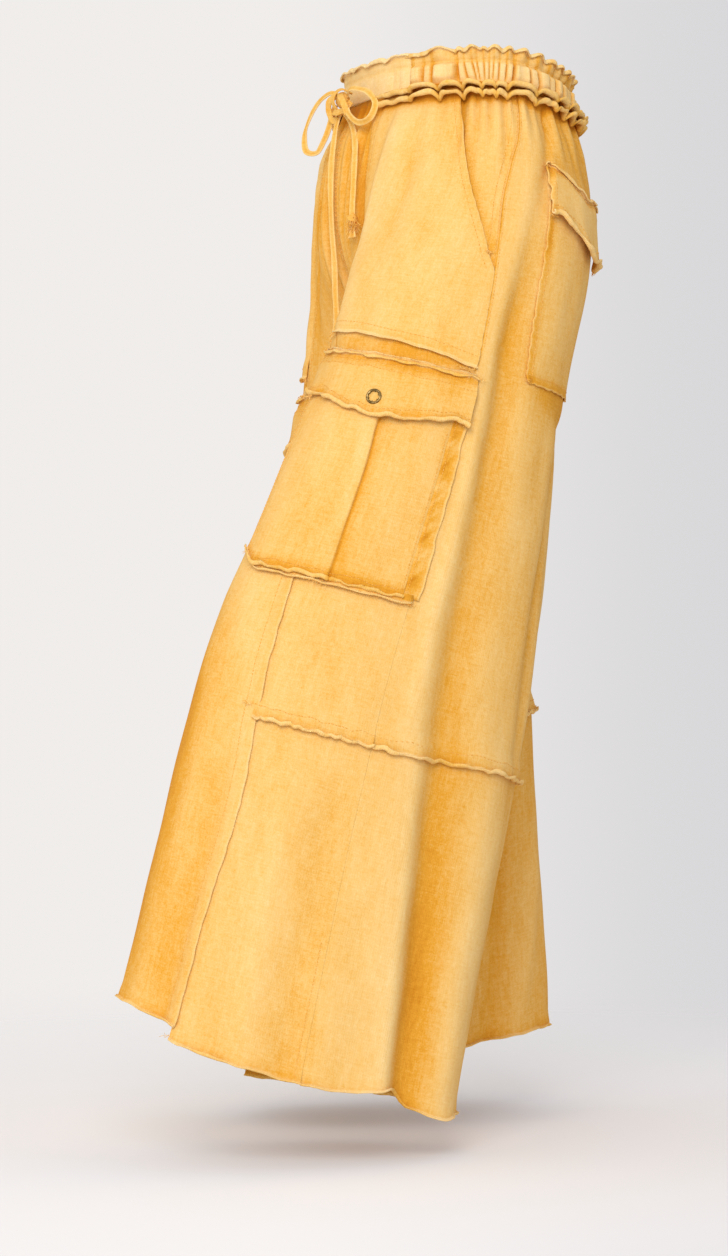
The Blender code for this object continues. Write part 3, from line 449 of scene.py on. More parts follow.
def makeWashedCloth(name, recipe, stops, bumpDepth):
    material, shader = newMaterial(name)
    objectPlace = addNode(material, "ShaderNodeTexCoord").outputs["Object"]
    stretched = addNode(material, "ShaderNodeMapping",
                        {"Vector": objectPlace, "Scale": (1.0, 1.0, 0.45)}).outputs["Vector"]
    tone = addNode(material, "ShaderNodeAttribute", attribute_name="tone").outputs["Fac"]
    total = tone
    pattern = addNode(material, "ShaderNodeUVMap", uv_map="pattern").outputs["UV"]
    # slubs: uneven yarn, in streaks about 12 mm long across the cloth and 25 mm down it
    slubs = [addNode(material, "ShaderNodeMapping", {"Vector": pattern, "Scale": scale}).outputs["Vector"]
             for scale in ((80.0, 620.0, 1.0), (430.0, 38.0, 1.0))]
    for place, scale, detail, share in ((stretched, recipe["patch"], 4.0, 0.34),
                                        (stretched, recipe["smudge"], 3.0, 0.22),
                                        (objectPlace, recipe["fleck"], 2.0, 0.24),
                                        (slubs[0], 1.0, 2.0, 0.24), (slubs[1], 1.0, 2.0, 0.24),
                                        (objectPlace, recipe["loop"], 1.0, 0.30)):
        cloud = addNode(material, "ShaderNodeTexNoise",
                        {"Vector": place, "Scale": scale, "Detail": detail, "Roughness": 0.62})
        part = addNode(material, "ShaderNodeMath", {0: cloud.outputs["Fac"], 1: 0.5},
                       operation="SUBTRACT")
        part = addNode(material, "ShaderNodeMath", {0: part.outputs[0], 1: share, 2: total},
                       operation="MULTIPLY_ADD")
        total = part.outputs[0]
    shader.inputs["Base Color"].default_value = linear(stops[2][1])
    material.node_tree.links.new(colourRamp(material, total, stops), shader.inputs["Base Color"])
    # ribs of the knit 1.3 mm apart, wavering a little
    ribs = addNode(material, "ShaderNodeTexWave", {"Vector": pattern, "Scale": 245.0,
                   "Distortion": 2.2, "Detail": 1.0, "Detail Scale": 2.0})
    grain = addNode(material, "ShaderNodeTexNoise",
                    {"Vector": objectPlace, "Scale": recipe["loop"], "Detail": 2.0})
    mixed = addNode(material, "ShaderNodeMath",
                    {0: ribs.outputs["Fac"], 1: 0.35, 2: grain.outputs["Fac"]},
                    operation="MULTIPLY_ADD")
    crumple = addNode(material, "ShaderNodeTexNoise",
                      {"Vector": stretched, "Scale": 62.0, "Detail": 3.0})
    fineBump = addNode(material, "ShaderNodeBump",
                       {"Height": mixed.outputs[0], "Strength": 0.55, "Distance": bumpDepth})
    softBump = addNode(material, "ShaderNodeBump",
                       {"Height": crumple.outputs["Fac"], "Strength": 0.35, "Distance": 0.0016,
                        "Normal": fineBump.outputs["Normal"]})
    material.node_tree.links.new(softBump.outputs["Normal"], shader.inputs["Normal"])
    shader.inputs["Roughness"].default_value = recipe["roughness"]
    shader.inputs["Specular IOR Level"].default_value = 0.10
    shader.inputs["Sheen Weight"].default_value = 0.04
    shader.inputs["Sheen Roughness"].default_value = 0.6
    shader.inputs["Sheen Tint"].default_value = linear("#FFE3B0")
    return material


washedTerryKnit = makeWashedCloth("washedTerryKnit", washedCloth, washedCloth["stops"], 0.0004)
# the inside of the knit: uncut loops, deeper in colour and rougher
terryLoops = makeWashedCloth("terryLoopsInside", dict(washedCloth, loop=420.0),
                             [(0.0, "#CC8218"), (0.28, "#DC9A30"), (0.5, "#E7B254"),
                              (0.72, "#EFC479"), (1.0, "#F7D79A")], 0.0012)
# the drawstring is a folded strip of the same knit, turned right side out
drawstringKnit = makeWashedCloth("drawstringKnit", washedCloth,
                                 [(0.0, "#D08C24"), (0.28, "#E0A43E"), (0.5, "#E8BA68"),
                                  (0.72, "#EECA86"), (1.0, "#F6DBA8")], 0.0004)



def makeYarn(name, stops):
    material, shader = newMaterial(name)
    place = addNode(material, "ShaderNodeTexCoord").outputs["Object"]
    cloud = addNode(material, "ShaderNodeTexNoise", {"Vector": place, "Scale": 300.0, "Detail": 2.0})
    material.node_tree.links.new(colourRamp(material, cloud.outputs["Fac"], stops),
                                 shader.inputs["Base Color"])
    shader.inputs["Roughness"].default_value = 0.9
    shader.inputs["Specular IOR Level"].default_value = 0.1
    return material


# cotton thread, dyed with the cloth, and the paler yarn that frays out of the knit
cottonThread = makeYarn("dyedCottonThread", [(0.3, "#D9962F"), (0.5, "#E6AB4E"), (0.7, "#F1C475")])
frayedYarn = makeYarn("frayedCottonYarn", [(0.3, "#E9A83C"), (0.5, "#F3BF62"), (0.7, "#FAD592")])

# antique brass: plated, tumbled, dark in the hollows and bright where it rubs
antiqueBrass, shader = newMaterial("antiqueBrassPlated")
brassPlace = addNode(antiqueBrass, "ShaderNodeTexCoord").outputs["Object"]
brassWear = addNode(antiqueBrass, "ShaderNodeTexNoise",
                    {"Vector": brassPlace, "Scale": 420.0, "Detail": 4.0})
antiqueBrass.node_tree.links.new(
    colourRamp(antiqueBrass, brassWear.outputs["Fac"],
               [(0.30, "#4A3A22"), (0.52, "#8A7142"), (0.75, "#C9AE78")]), shader.inputs["Base Color"])
brassRough = addNode(antiqueBrass, "ShaderNodeMapRange",
                     {"Value": brassWear.outputs["Fac"], "To Min": 0.5, "To Max": 0.25})
antiqueBrass.node_tree.links.new(brassRough.outputs[0], shader.inputs["Roughness"])
shader.inputs["Metallic"].default_value = 1.0
print("materials made")


def link(name, mesh, slot, *materials):
    obj = bpy.data.objects.new(name, mesh)
    for material in materials:
        obj.data.materials.append(material)
    bpy.context.scene.collection.objects.link(obj)
    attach(obj, "root")
    return obj


# the drawstring: a flat strip, tied in a bow, its route as in the CAD
drawstring = {
    "width": 0.0062, "thick": 0.0019, "steps": 64,
    "knot": {"place": (0.000, -0.1165, -0.0125), "size": (0.0092, 0.0066, 0.0082)},
    # the strip's turns round the knot: one down its front, one across below, one at each side
    "turns": [
        ([(0.003, -0.108, -0.0060), (0.001, -0.1185, -0.0020), (-0.0005, -0.1255, -0.0080),
          (-0.001, -0.1262, -0.0140), (-0.0015, -0.1225, -0.0205), (-0.001, -0.1150, -0.0240)],
         [(0, 0, 1), (0.1, -0.5, 0.8), (0.1, -1, 0.2), (0.1, -1, -0.2), (0, -0.6, -0.8), (0, 0, -1)]),
        ([(-0.0125, -0.1190, -0.0180), (-0.0050, -0.1235, -0.0230), (0.0060, -0.1225, -0.0245),
          (0.0160, -0.1185, -0.0215), (0.0195, -0.1150, -0.0160)],
         [(0.1, -1, 0.5), (0.1, -1, 0.3), (0.3, -1, 0.2), (0.6, -0.8, 0.1)]),
        ([(0.0040, -0.1200, -0.0070), (0.0140, -0.1235, -0.0110), (0.0215, -0.1225, -0.0200),
          (0.0200, -0.1190, -0.0300), (0.0120, -0.1165, -0.0300)],
         [(0.8, -0.4, 0.4), (0.9, -0.4, 0.3), (0.7, -0.6, 0.0), (0.6, -0.8, -0.2)]),
        ([(-0.0030, -0.1210, -0.0080), (-0.0110, -0.1260, -0.0120), (-0.0150, -0.1250, -0.0220),
          (-0.0110, -0.1215, -0.0310), (-0.0050, -0.1190, -0.0290)],
         [(0.8, -0.4, 0.4), (0.7, -0.7, 0.0), (0.6, -0.8, -0.2), (0.8, -0.5, 0.0)])],
    "cords": {
        "drawstring_loop_left": {
            "length": 0.1405, "end": "object",
            "facing": [(0.70, -0.60, 0.40), (0.80, -0.40, 0.45), (0.94, -0.30, 0.15), (0.75, -0.50, -0.40),
                       (0.55, -0.80, -0.20), (0.60, -0.80, 0.0)],
            "points": [
                (0.0098, -0.1150, -0.0090), (0.0200, -0.1165, -0.0045), (0.0360, -0.1135, -0.0060),
                (0.0540, -0.1090, -0.0125), (0.0640, -0.1070, -0.0240), (0.0600, -0.1100, -0.0350),
                (0.0450, -0.1155, -0.0390), (0.0290, -0.1195, -0.0310), (0.0170, -0.1195, -0.0210),
                (0.0094, -0.1185, -0.0165)]},
        "drawstring_loop_right": {
            "length": 0.1567, "end": "object",
            "facing": [(0.85, -0.35, 0.40), (0.70, -0.45, 0.55), (0.25, -0.75, 0.60), (0.55, -0.60, 0.55),
                       (0.80, -0.55, 0.20), (0.50, -0.85, 0.10)],
            "points": [
                (-0.0098, -0.1165, -0.0080), (-0.0200, -0.1195, -0.0030), (-0.0370, -0.1250, -0.0070),
                (-0.0520, -0.1310, -0.0220), (-0.0590, -0.1345, -0.0400), (-0.0540, -0.1345, -0.0550),
                (-0.0400, -0.1290, -0.0580), (-0.0290, -0.1250, -0.0470), (-0.0185, -0.1215, -0.0290),
                (-0.0098, -0.1205, -0.0155)]},
        "drawstring_tail_left": {
            "length": 0.1473, "end": "knot",
            "facing": [(0.30, -0.95, 0.10), (0.75, -0.65, 0.10), (0.60, -0.80, 0.0), (0.75, -0.66, 0.0)],
            "points": [
                (0.0035, -0.1165, -0.0232), (0.0110, -0.1135, -0.0320), (0.0240, -0.1145, -0.0430),
                (0.0390, -0.1180, -0.0630), (0.0500, -0.1230, -0.0840), (0.0560, -0.1260, -0.1030),
                (0.0590, -0.1280, -0.1180), (0.0625, -0.1295, -0.1330), (0.0670, -0.1310, -0.1500)]},
        "drawstring_tail_right": {
            "length": 0.2190, "end": "bare",
            "facing": [(0.20, -0.97, 0.0), (0.75, -0.66, 0.0), (0.35, -0.93, 0.0), (0.80, -0.60, 0.0),
                       (0.40, -0.90, 0.0)],
            "points": [
                (-0.0040, -0.1175, -0.0232), (-0.0060, -0.1205, -0.0350), (-0.0045, -0.1245, -0.0560),
                (-0.0030, -0.1275, -0.0880), (-0.0015, -0.1280, -0.1070), (-0.0010, -0.1270, -0.1360),
                (0.0000, -0.1250, -0.1650), (0.0000, -0.1240, -0.1950), (0.0010, -0.1235, -0.2240),
                (-0.0040, -0.1245, -0.2400)]},
    },
}


def routeThrough(points, steps):
    # one smooth curve through the points, read at even steps
    route = np.array(points, float)
    reach = np.concatenate([[0], np.cumsum(np.linalg.norm(np.diff(route, axis=0), axis=1))])
    tangent = np.gradient(route, reach, axis=0)
    at = np.linspace(0, reach[-1], steps + 1)
    i = np.clip(np.searchsorted(reach, at, side="right") - 1, 0, len(route) - 2)
    span = (reach[i + 1] - reach[i])[:, None]
    t = (at - reach[i])[:, None] / span
    ends = route[i] * (1 + 2 * t) * (1 - t) ** 2 + route[i + 1] * t * t * (3 - 2 * t)
    return ends + span * (tangent[i] * t * (1 - t) ** 2 - tangent[i + 1] * t * t * (1 - t))


def makeStrip(name, points, facing, width, thick, steps, frayed=False):
    # a soft flat strip along a route, made by extruding its outline step by step
    route = routeThrough(points, steps)
    shares = np.linspace(0, len(facing) - 1, steps + 1)
    wanted = np.stack([np.interp(shares, range(len(facing)), column)
                       for column in np.array(facing, float).T], -1)
    along = np.gradient(route, axis=0)
    along /= np.linalg.norm(along, axis=1, keepdims=True)
    side = np.cross(wanted, along)
    side /= np.linalg.norm(side, axis=1, keepdims=True)
    up = np.cross(along, side)
    turn = np.linspace(0, 2 * pi, 16, endpoint=False)
    made = bmesh.new()
    outline = bmesh.ops.create_circle(made, segments=16, radius=1.0)["verts"]
    edges = list({edge for vertex in outline for edge in vertex.link_edges})
    for step in range(steps + 1):
        t = step / steps
        if step:
            grown = bmesh.ops.extrude_edge_only(made, edges=edges)["geom"]
            outline = [item for item in grown if isinstance(item, bmesh.types.BMVert)]
            edges = [item for item in grown if isinstance(item, bmesh.types.BMEdge)
                     and all(vertex in outline for vertex in item.verts)]
        else:
            order = list(range(16))
        if step:
            # each new vertex continues the one it grew from
            linked = [next(edge.other_vert(vertex) for edge in vertex.link_edges
                           if edge.other_vert(vertex) in lastOutline) for vertex in outline]
            place = {vertex: k for k, vertex in enumerate(lastOutline)}
            order = [lastOrder[place[vertex]] for vertex in linked]
        wide = width / 2 * (1 + 0.07 * waver(t * 10, 1.9, 2.0))
        if frayed:
            wide *= 1 + 0.25 * smooth((t - 0.95) / 0.05)
        for vertex, k in zip(outline, order):
            flat = np.sign(np.cos(turn[k])) * abs(np.cos(turn[k])) ** 0.8 * wide
            # two layers with a soft roll at each edge and a hollow along the middle
            high = np.sin(turn[k]) * thick / 2 * (0.42 + 1.15 * abs(np.cos(turn[k])) ** 1.6)
            vertex.co = route[step] + side[step] * flat + up[step] * high
        lastOutline, lastOrder = list(outline), list(order)
    bmesh.ops.holes_fill(made, edges=[edge for edge in made.edges if edge.is_boundary], sides=16)
    bmesh.ops.recalc_face_normals(made, faces=made.faces)
    mesh = bpy.data.meshes.new(name)
    made.to_mesh(mesh)
    made.free()
    mesh.shade_smooth()
    return mesh, route


def finishPlain(mesh, tone=0.55, route=None):
    # gives a mesh outside the pattern the attribute and map that the cloth material reads; a
    # strip is paler at its two edges and deeper along its middle
    count = len(mesh.vertices)
    places = np.empty(count * 3)
    mesh.vertices.foreach_get("co", places)
    tones = np.full(count, tone)
    if route is not None:
        apart = np.linalg.norm(places.reshape(-1, 1, 3) - route[None], axis=-1).min(1)
        tones += 0.38 * (apart / (drawstring["width"] / 2)) ** 2 - 0.16
    mesh.attributes.new("tone", "FLOAT", "POINT").data.foreach_set("value", tones)
    corner = np.empty(len(mesh.loops), int)
    mesh.loops.foreach_get("vertex_index", corner)
    flat = places.reshape(-1, 3)[corner][:, [0, 2]]
    mesh.uv_layers.new(name="pattern").data.foreach_set("uv", flat.ravel())


def strands(name, roots, seed, slot="terry", material=frayedYarn, thick=0.00022):
    # frayed yarn ends: thin tapered threads, each bent once
    rng = np.random.default_rng(seed)
    made = bmesh.new()
    for place, along, length in roots:
        base = Vector(place)
        way = Vector(along) + Vector(rng.normal(0, 0.35, 3))
        for reach, wide, tip in ((0.55, thick, thick * 0.8), (0.45, thick * 0.8, thick * 0.35)):
            way.normalize()
            piece = length * reach * rng.uniform(0.7, 1.3)
            turned = way.to_track_quat("Z", "Y").to_matrix().to_4x4()
            middle = Matrix.Translation(base + way * piece * 0.48)
            bmesh.ops.create_cone(made, cap_ends=True, segments=4, radius1=wide, radius2=tip,
                                  depth=piece, matrix=middle @ turned)
            base = base + way * piece * 0.92
            way += Vector(rng.normal(0, 0.45, 3))
    mesh = bpy.data.meshes.new(name)
    made.to_mesh(mesh)
    made.free()
    mesh.shade_smooth()
    return link(name, mesh, slot, material)


knotPlace, knotSize = drawstring["knot"]["place"], drawstring["knot"]["size"]
made = bmesh.new()
bmesh.ops.create_uvsphere(made, u_segments=40, v_segments=28, radius=1.0)
for vertex in made.verts:
    x, y, z = vertex.co
    # the strip crosses the bow slantwise: a broad wrap with a groove at each side, and the cloth
    # of the loops bunched beside it
    aslant = x + 0.35 * z
    wrap = 1 - 0.26 * np.exp(-((abs(aslant) - 0.46) / 0.10) ** 2) - 0.09 * np.exp(-(aslant / 0.12) ** 2)
    wrap += 0.04 * waver(z + x, 0.9, 1.0)
    vertex.co = (x * knotSize[0] * (1 + 0.10 * abs(z)), y * knotSize[1] * wrap,
                 z * knotSize[2] * (1 - 0.20 * (abs(aslant) > 0.46) - 0.10 * x * x))
made.transform(Matrix.Translation(knotPlace))
for points, facing in drawstring["turns"]:
    mesh = makeStrip("turn", points, facing, drawstring["width"], drawstring["thick"], 22)[0]
    made.from_mesh(mesh)
    bpy.data.meshes.remove(mesh)
mesh = bpy.data.meshes.new("bowKnot")
made.to_mesh(mesh)
made.free()
mesh.shade_smooth()
finishPlain(mesh, 0.44)
bowKnot = link("bowKnot", mesh, "drawstring_knit", drawstringKnit)
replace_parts(bowKnot, "drawstring_knot")

for node, cordFacts in drawstring["cords"].items():
    tail = "tail" in node
    mesh, route = makeStrip(node + "_strip", cordFacts["points"], cordFacts["facing"],
                            drawstring["width"], drawstring["thick"], drawstring["steps"], tail)
    finishPlain(mesh, 0.52, routeThrough(cordFacts["points"], 400))
    strip = link(node + "_strip", mesh, "drawstring_knit", drawstringKnit)
    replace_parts(strip, node)
    if tail:
        end, way = route[-1], (route[-1] - route[-4]) / np.linalg.norm(route[-1] - route[-4])
        rng = np.random.default_rng(5)
        count = 90 if cordFacts["end"] == "knot" else 16
        start = route[-8] if cordFacts["end"] == "knot" else end
        roots = [(start + rng.normal(0, 0.0016, 3) - way * rng.uniform(0, 0.004), way,
                  rng.uniform(0.006, 0.019)) for _ in range(count)]
        strands(node + "_fray", roots, 11, "drawstring_knit", thick=0.00034)
    if cordFacts["end"] == "knot":
        # a small overhand knot above the frayed end
        made = bmesh.new()
        bmesh.ops.create_uvsphere(made, u_segments=24, v_segments=16, radius=1.0)
        for vertex in made.verts:
            x, y, z = vertex.co
            swell = 1 + 0.13 * np.sin(5 * x + 6 * z) + 0.08 * np.cos(7 * z - 3 * y)
            vertex.co = (x * 0.0058 * swell, y * 0.0050 * swell, z * 0.0050 * swell)
        made.transform(Matrix.Translation(Vector(route[-9])))
        mesh = bpy.data.meshes.new(node + "_endKnot")
        made.to_mesh(mesh)
        made.free()
        mesh.shade_smooth()
        finishPlain(mesh, 0.42)
        link(node + "_endKnot", mesh, "drawstring_knit", drawstringKnit)
print("drawstring tied")


def steps(length, head=0.0, tail=0.0, coarse=0.0045, fine=0.0007, medium=0.0018, zone=0.012):
    # shares from 0 to 1: fine over a rolled edge, medium beside it, coarse between
    marks = [0.0, length]
    for reach, from0 in ((head, True), (tail, False)):
        if reach:
            near = list(np.linspace(0, reach, ceil(reach / fine) + 1))
            near += list(np.linspace(reach, reach + zone, ceil(zone / medium) + 1))
            marks += near if from0 else [length - mark for mark in near]
    marks = sorted(mark for mark in marks if -1e-9 <= mark <= length + 1e-9)
    filled = [marks[0]]
    for mark in marks[1:]:
        gap = mark - filled[-1]
        if gap > coarse:
            filled += list(np.linspace(filled[-1], mark, ceil(gap / coarse) + 1)[1:])
        elif gap > 1e-5:
            filled.append(mark)
    filled = np.array(filled)
    return filled / filled[-1]


# how a raw edge of the knit curls: radius of its hollow, cloth in the curl, height of its
# flutter, how far in it starts, in-plane raggedness, spacing of the waves, the paler tone of its
# worn roll, painted shade beside it (beside) and how far that reaches, and a dip at the cut
edges = {
    "none":    {"radius": 0.0, "curl": 0.0, "flutter": 0.0, "zone": 0.010, "ragged": 0.0,
                "size": 0.020, "tone": 0.0, "beside": -0.03, "reach": 0.004, "dip": -0.0003},
    "plain":   {"radius": 0.0, "curl": 0.0, "flutter": 0.0, "zone": 0.010, "ragged": 0.0,
                "size": 0.020, "tone": 0.0, "beside": 0.0, "reach": 0.006, "dip": 0.0},
    "folded":  {"radius": 0.0, "curl": 0.0, "flutter": 0.0004, "zone": 0.006, "ragged": 0.0004,
                "size": 0.009, "tone": 0.08, "beside": -0.07, "reach": 0.007, "dip": -0.0001},
    "rolled":  {"radius": 0.0012, "curl": 0.0044, "flutter": 0.0022, "zone": 0.016,
                "ragged": 0.0016, "size": 0.034, "tone": 0.20, "beside": -0.14, "reach": 0.006,
                "dip": 0.0},
    "kneeRaw": {"radius": 0.0012, "curl": 0.0042, "flutter": 0.0022, "zone": 0.013,
                "ragged": 0.0015, "size": 0.017, "tone": 0.20, "beside": -0.12, "reach": 0.006,
                "dip": 0.0},
    "hemmed":  {"radius": 0.0010, "curl": 0.0027, "flutter": 0.0013, "zone": 0.014,
                "ragged": 0.0008, "size": 0.040, "tone": 0.16, "beside": -0.08, "reach": 0.006,
                "dip": 0.0},
    "flared":  {"radius": 0.0018, "curl": 0.0030, "flutter": 0.0011, "zone": 0.012,
                "ragged": 0.0010, "size": 0.046, "tone": 0.16, "beside": -0.05, "reach": 0.008,
                "dip": 0.0},
    "frontLap": {"radius": 0.0009, "curl": 0.0008, "flutter": 0.0007, "zone": 0.006,
                 "ragged": 0.0004, "size": 0.030, "tone": 0.10, "beside": -0.06, "reach": 0.004,
                 "dip": 0.0},
    "doubled": {"radius": 0.0010, "curl": 0.0034, "flutter": 0.0014, "zone": 0.008,
                "ragged": 0.0008, "size": 0.022, "tone": 0.18, "beside": -0.13, "reach": 0.005,
                "dip": 0.0},
    "pressed": {"radius": 0.0011, "curl": 0.0042, "flutter": 0.0006, "zone": 0.006,
                "ragged": 0.0012, "size": 0.024, "tone": 0.22, "beside": -0.13, "reach": 0.005,
                "dip": 0.0},
    "trimmed": {"radius": 0.0010, "curl": 0.0012, "flutter": 0.0009, "zone": 0.006,
                "ragged": 0.0008, "size": 0.036, "tone": 0.16, "beside": -0.04, "reach": 0.004,
                "dip": 0.0},
    "serrated": {"radius": 0.0010, "curl": 0.0008, "flutter": 0.0012, "zone": 0.006,
                 "ragged": 0.0009, "size": 0.015, "tone": 0.12, "beside": -0.12, "reach": 0.005,
                 "dip": 0.0},
}


def curlOf(edge, along, seed):
    # radius and cloth length of the curl at places along an edge
    radius = edge["radius"] * (1 + 0.28 * waver(along, 2.1 * edge["size"], seed + 3.0))
    curl = edge["curl"] * (1 + 0.30 * waver(along, 1.6 * edge["size"], seed + 5.0))
    return np.maximum(radius, 1e-6), np.maximum(curl, 0.0)


def edgeShape(edge, inset, along, seed, amount=1.0):
    # inset is cloth from the cut end. Gives the distance in from the drawn edge, the height
    # and the tone
    radius, curl = curlOf(edge, along, seed)
    past = curl - inset
    turn = np.clip(past, 0, None) / radius
    turn = np.where(edge["radius"] > 0, np.minimum(turn, 4.2), 0.0)
    seen = np.where(past > 0, radius * (1 - np.sin(turn)), radius - past)
    height = np.where(past > 0, radius * (1 - np.cos(turn)), 0.0)
    near = smooth(1 - (inset - curl) / edge["zone"])
    near = near * amount
    wave = waver(along, edge["size"], seed)
    height = height * amount + edge["flutter"] * (0.55 + 0.6 * wave) * near
    height = height + edge["dip"] * smooth(1 - inset / 0.003)
    seen = seen + edge["ragged"] * waver(along, 0.8 * edge["size"], seed + 8.0) * near
    seen = seen + 0.22 * edge["ragged"] * waver(along, 0.0062, seed + 2.0) * near ** 3
    tone = edge["tone"] * smooth((past + 0.0012) / 0.0016)
    # painted shade on the flat cloth beside the curl, under its roll
    tone = tone + edge["beside"] * np.exp(-(np.maximum(-past, 0) / edge["reach"]) ** 2) * (past < 0)
    return seen, height, tone * amount


def pieceSurface(key, left, right, top, low, lift=None, left_="none", right_="none", top_="plain",
                 low_="plain", seed=1.0, pleat=None, toneOf=None, wide=0.25):
    # the surface of one cut piece: across and down run 0 to 1 over its cloth, and wide is
    # about its width in metres
    sides = {"left": edges[left_], "right": edges[right_], "top": edges[top_], "low": edges[low_]}

    def extra(side, along, number):
        radius, curl = curlOf(sides[side], along, seed + number)
        return np.where(sides[side]["radius"] > 0, curl - radius, 0.0)

    def length(across):
        along = across * wide
        return low(across) - top(across) + extra("top", along, 1) + extra("low", along, 2)

    def breadth(drop):
        start, end = left(drop), right(drop)
        return (end - start) * girth(key, (start + end) / 2, drop)

    def surface(across, down):
        across, down = np.broadcast_arrays(np.asarray(across, float), np.asarray(down, float))
        along = across * wide
        total = length(across)
        fromTop, toLow = total * down, total * (1 - down)
        seenTop, highTop, toneTop = edgeShape(sides["top"], fromTop, along, seed + 1)
        seenLow, highLow, toneLow = edgeShape(sides["low"], toLow, along, seed + 2)
        drop = np.where(fromTop < toLow, top(across) + seenTop, low(across) - seenLow)
        span = breadth(drop)
        full = span + extra("left", drop, 3) + extra("right", drop, 4)
        fromLeft, toRight = full * across, full * (1 - across)
        seenLeft, highLeft, toneLeft = edgeShape(sides["left"], fromLeft, drop, seed + 3)
        # the front's lapped edge is raw only below the thigh pocket
        raw = smooth((drop - 0.46) / 0.03) if right_ == "frontLap" else 1.0
        seenRight, highRight, toneRight = edgeShape(sides["right"], toRight, drop, seed + 4, raw)
        share = np.where(fromLeft < toRight, seenLeft / span, 1 - seenRight / span)
        height = highTop + highLow + highLeft + highRight
        tone = 0.55 + toneTop + toneLow + toneLeft + toneRight
        start, end = left(drop), right(drop)
        if pleat is None:
            around = start + (end - start) * share
        else:
            middle = pleat["line"](drop)
            before = start + (middle - start) * share / pleat["share"]
            after = middle + (end - middle) * (share - pleat["share"]) / (1 - pleat["share"])
            around = np.where(share < pleat["share"], before, after)
            beside = (around - middle) * girth(key, middle, drop)
            # the front half folds over: a rounded lip, then the step down behind it, both
            # lower towards the pocket's bottom
            strong = 1 - 0.50 * smooth((drop - 0.360) / 0.13)
            strong = strong * (0.42 + 0.58 * smooth((drop - 0.322) / 0.024))     # held by the flap
            around = around + 0.0026 * strong * np.exp(-((beside + 0.0018) / 0.0024) ** 2)
            height = height + strong * pleat["step"] * (1 - smooth((beside + 0.0018) / 0.0028))
            height = height + strong * 0.0013 * np.exp(-((beside + 0.0065) / 0.0055) ** 2)
            # painted highlight on the rounded lip, and painted shadow in the step behind it and just past
            # it
            tone = tone + strong * 0.12 * np.exp(-((beside + 0.006) / 0.006) ** 2)
            tone = tone - 0.26 * np.exp(-((beside - 0.0012) / 0.0016) ** 2)
            tone = tone - 0.10 * np.exp(-((beside - 0.004) / 0.005) ** 2)
        # painted shade in the hollows of the folds and painted highlight on their crests
        tone = tone + washedCloth["hollow"] * np.clip(foldHeight(key, around, drop), -0.013, 0.007)
        # painted shade on each panel's top strip, under the ruffle
        tone = tone - 0.45 * (1 - smooth((drop - 0.024) / 0.010)) * (np.abs(drop) < 0.04)
        if toneOf is not None:
            tone = tone + toneOf(around, drop)
        raised = height + (0.0 if lift is None else lift(around, drop))
        flat = np.stack([around * 0.6, -drop], -1)
        return cloth(key, around, drop, raised), tone, flat

    def lineAt(side, at, inset):
        # shares across and down for a stitch line that runs along one edge
        if side in ("low", "top"):
            total = length(at)
            return at, (1 - inset / total if side == "low" else inset / total)
        drop = top(at * 0 + 0.5) + at * (low(at * 0 + 0.5) - top(at * 0 + 0.5))
        span = breadth(drop)
        return (1 - inset / span if side == "right" else inset / span), at

    return surface, lineAt


def sewCloth(name, node, surface, columns, rows, flat, area, mirrored=False, rests=(),
             held="draped", thick=cut["wall"]):
    # a grid laid on the surface and thickened inwards, its inside in terry loops
    made = bmesh.new()
    bmesh.ops.create_grid(made, x_segments=len(columns) - 1, y_segments=len(rows) - 1, size=0.5)
    if mirrored:
        bmesh.ops.reverse_faces(made, faces=made.faces)
    mesh = bpy.data.meshes.new(name)
    made.to_mesh(mesh)
    made.free()
    grid = np.empty(len(mesh.vertices) * 3)
    mesh.vertices.foreach_get("co", grid)
    grid = grid.reshape(-1, 3)
    across = columns[np.rint((grid[:, 0] + 0.5) * (len(columns) - 1)).astype(int)]
    down = rows[np.rint((0.5 - grid[:, 1]) * (len(rows) - 1)).astype(int)]
    places, tone, pattern = surface(across, down)
    mesh.vertices.foreach_set("co", places.ravel())
    mesh.attributes.new("tone", "FLOAT", "POINT").data.foreach_set("value", tone.ravel())
    corner = np.empty(len(mesh.loops), int)
    mesh.loops.foreach_get("vertex_index", corner)
    mesh.uv_layers.new(name="pattern").data.foreach_set("uv", pattern[corner].ravel())
    mesh.shade_smooth()
    obj = link(name, mesh, "terry", washedTerryKnit, terryLoops)
    wall = obj.modifiers.new("wall", "SOLIDIFY")
    wall.thickness = thick
    wall.offset = -1.0
    wall.material_offset = 1
    if node:
        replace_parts(obj, node)
    return obj


stitches = {"L": [], "R": []}
stitchSize = {"pitch": 0.0032, "long": 0.0013, "wide": 0.00038, "high": 0.00030}


def addStitches(key, surface, lineAt, side, inset, start=0.01, end=0.99, lengthHint=0.3):
    # a row of stitches along one edge of a piece, kept to be made at the end
    count = max(int(lengthHint / stitchSize["pitch"]), 4)
    at = np.linspace(start, end, count)
    across, down = lineAt(side, at, inset)
    nudge = 0.5 * (end - start) / count * 0.8
    if side in ("low", "top"):
        first, last = surface(at - nudge, down)[0], surface(at + nudge, down)[0]
        beside = surface(across, down - 0.004)[0]
    else:
        first, last = surface(across, at - nudge)[0], surface(across, at + nudge)[0]
        beside = surface(across - 0.01, at)[0]
    stitches[key].append((first, last, beside, surface(across, down)[0], side))


def line(value):
    return lambda at: value + 0 * np.asarray(at, float)


def tableLine(table, aside=0.0):
    return lambda drop: readTable(table, "around", drop) + aside


def hemEdge(key, start, end):
    return lambda across: readTable(hem[key], "low", start + (end - start) * np.asarray(across),
                                    by="around")


def thighEdge(across):
    return cut["thighSeam"] + 0.018 * np.asarray(across, float) ** 2


def kneeEdge(across):
    return cut["kneeSeam"] + cut["lap"] - 0.009 * smooth(np.asarray(across, float) / 0.3)


def rawLip(edge):
    # the last stretch above a raw lower edge rises over the piece that it laps
    return lambda around, drop: cut["lapLift"] * smooth((drop - edge + cut["lap"] + 0.013) / 0.010)


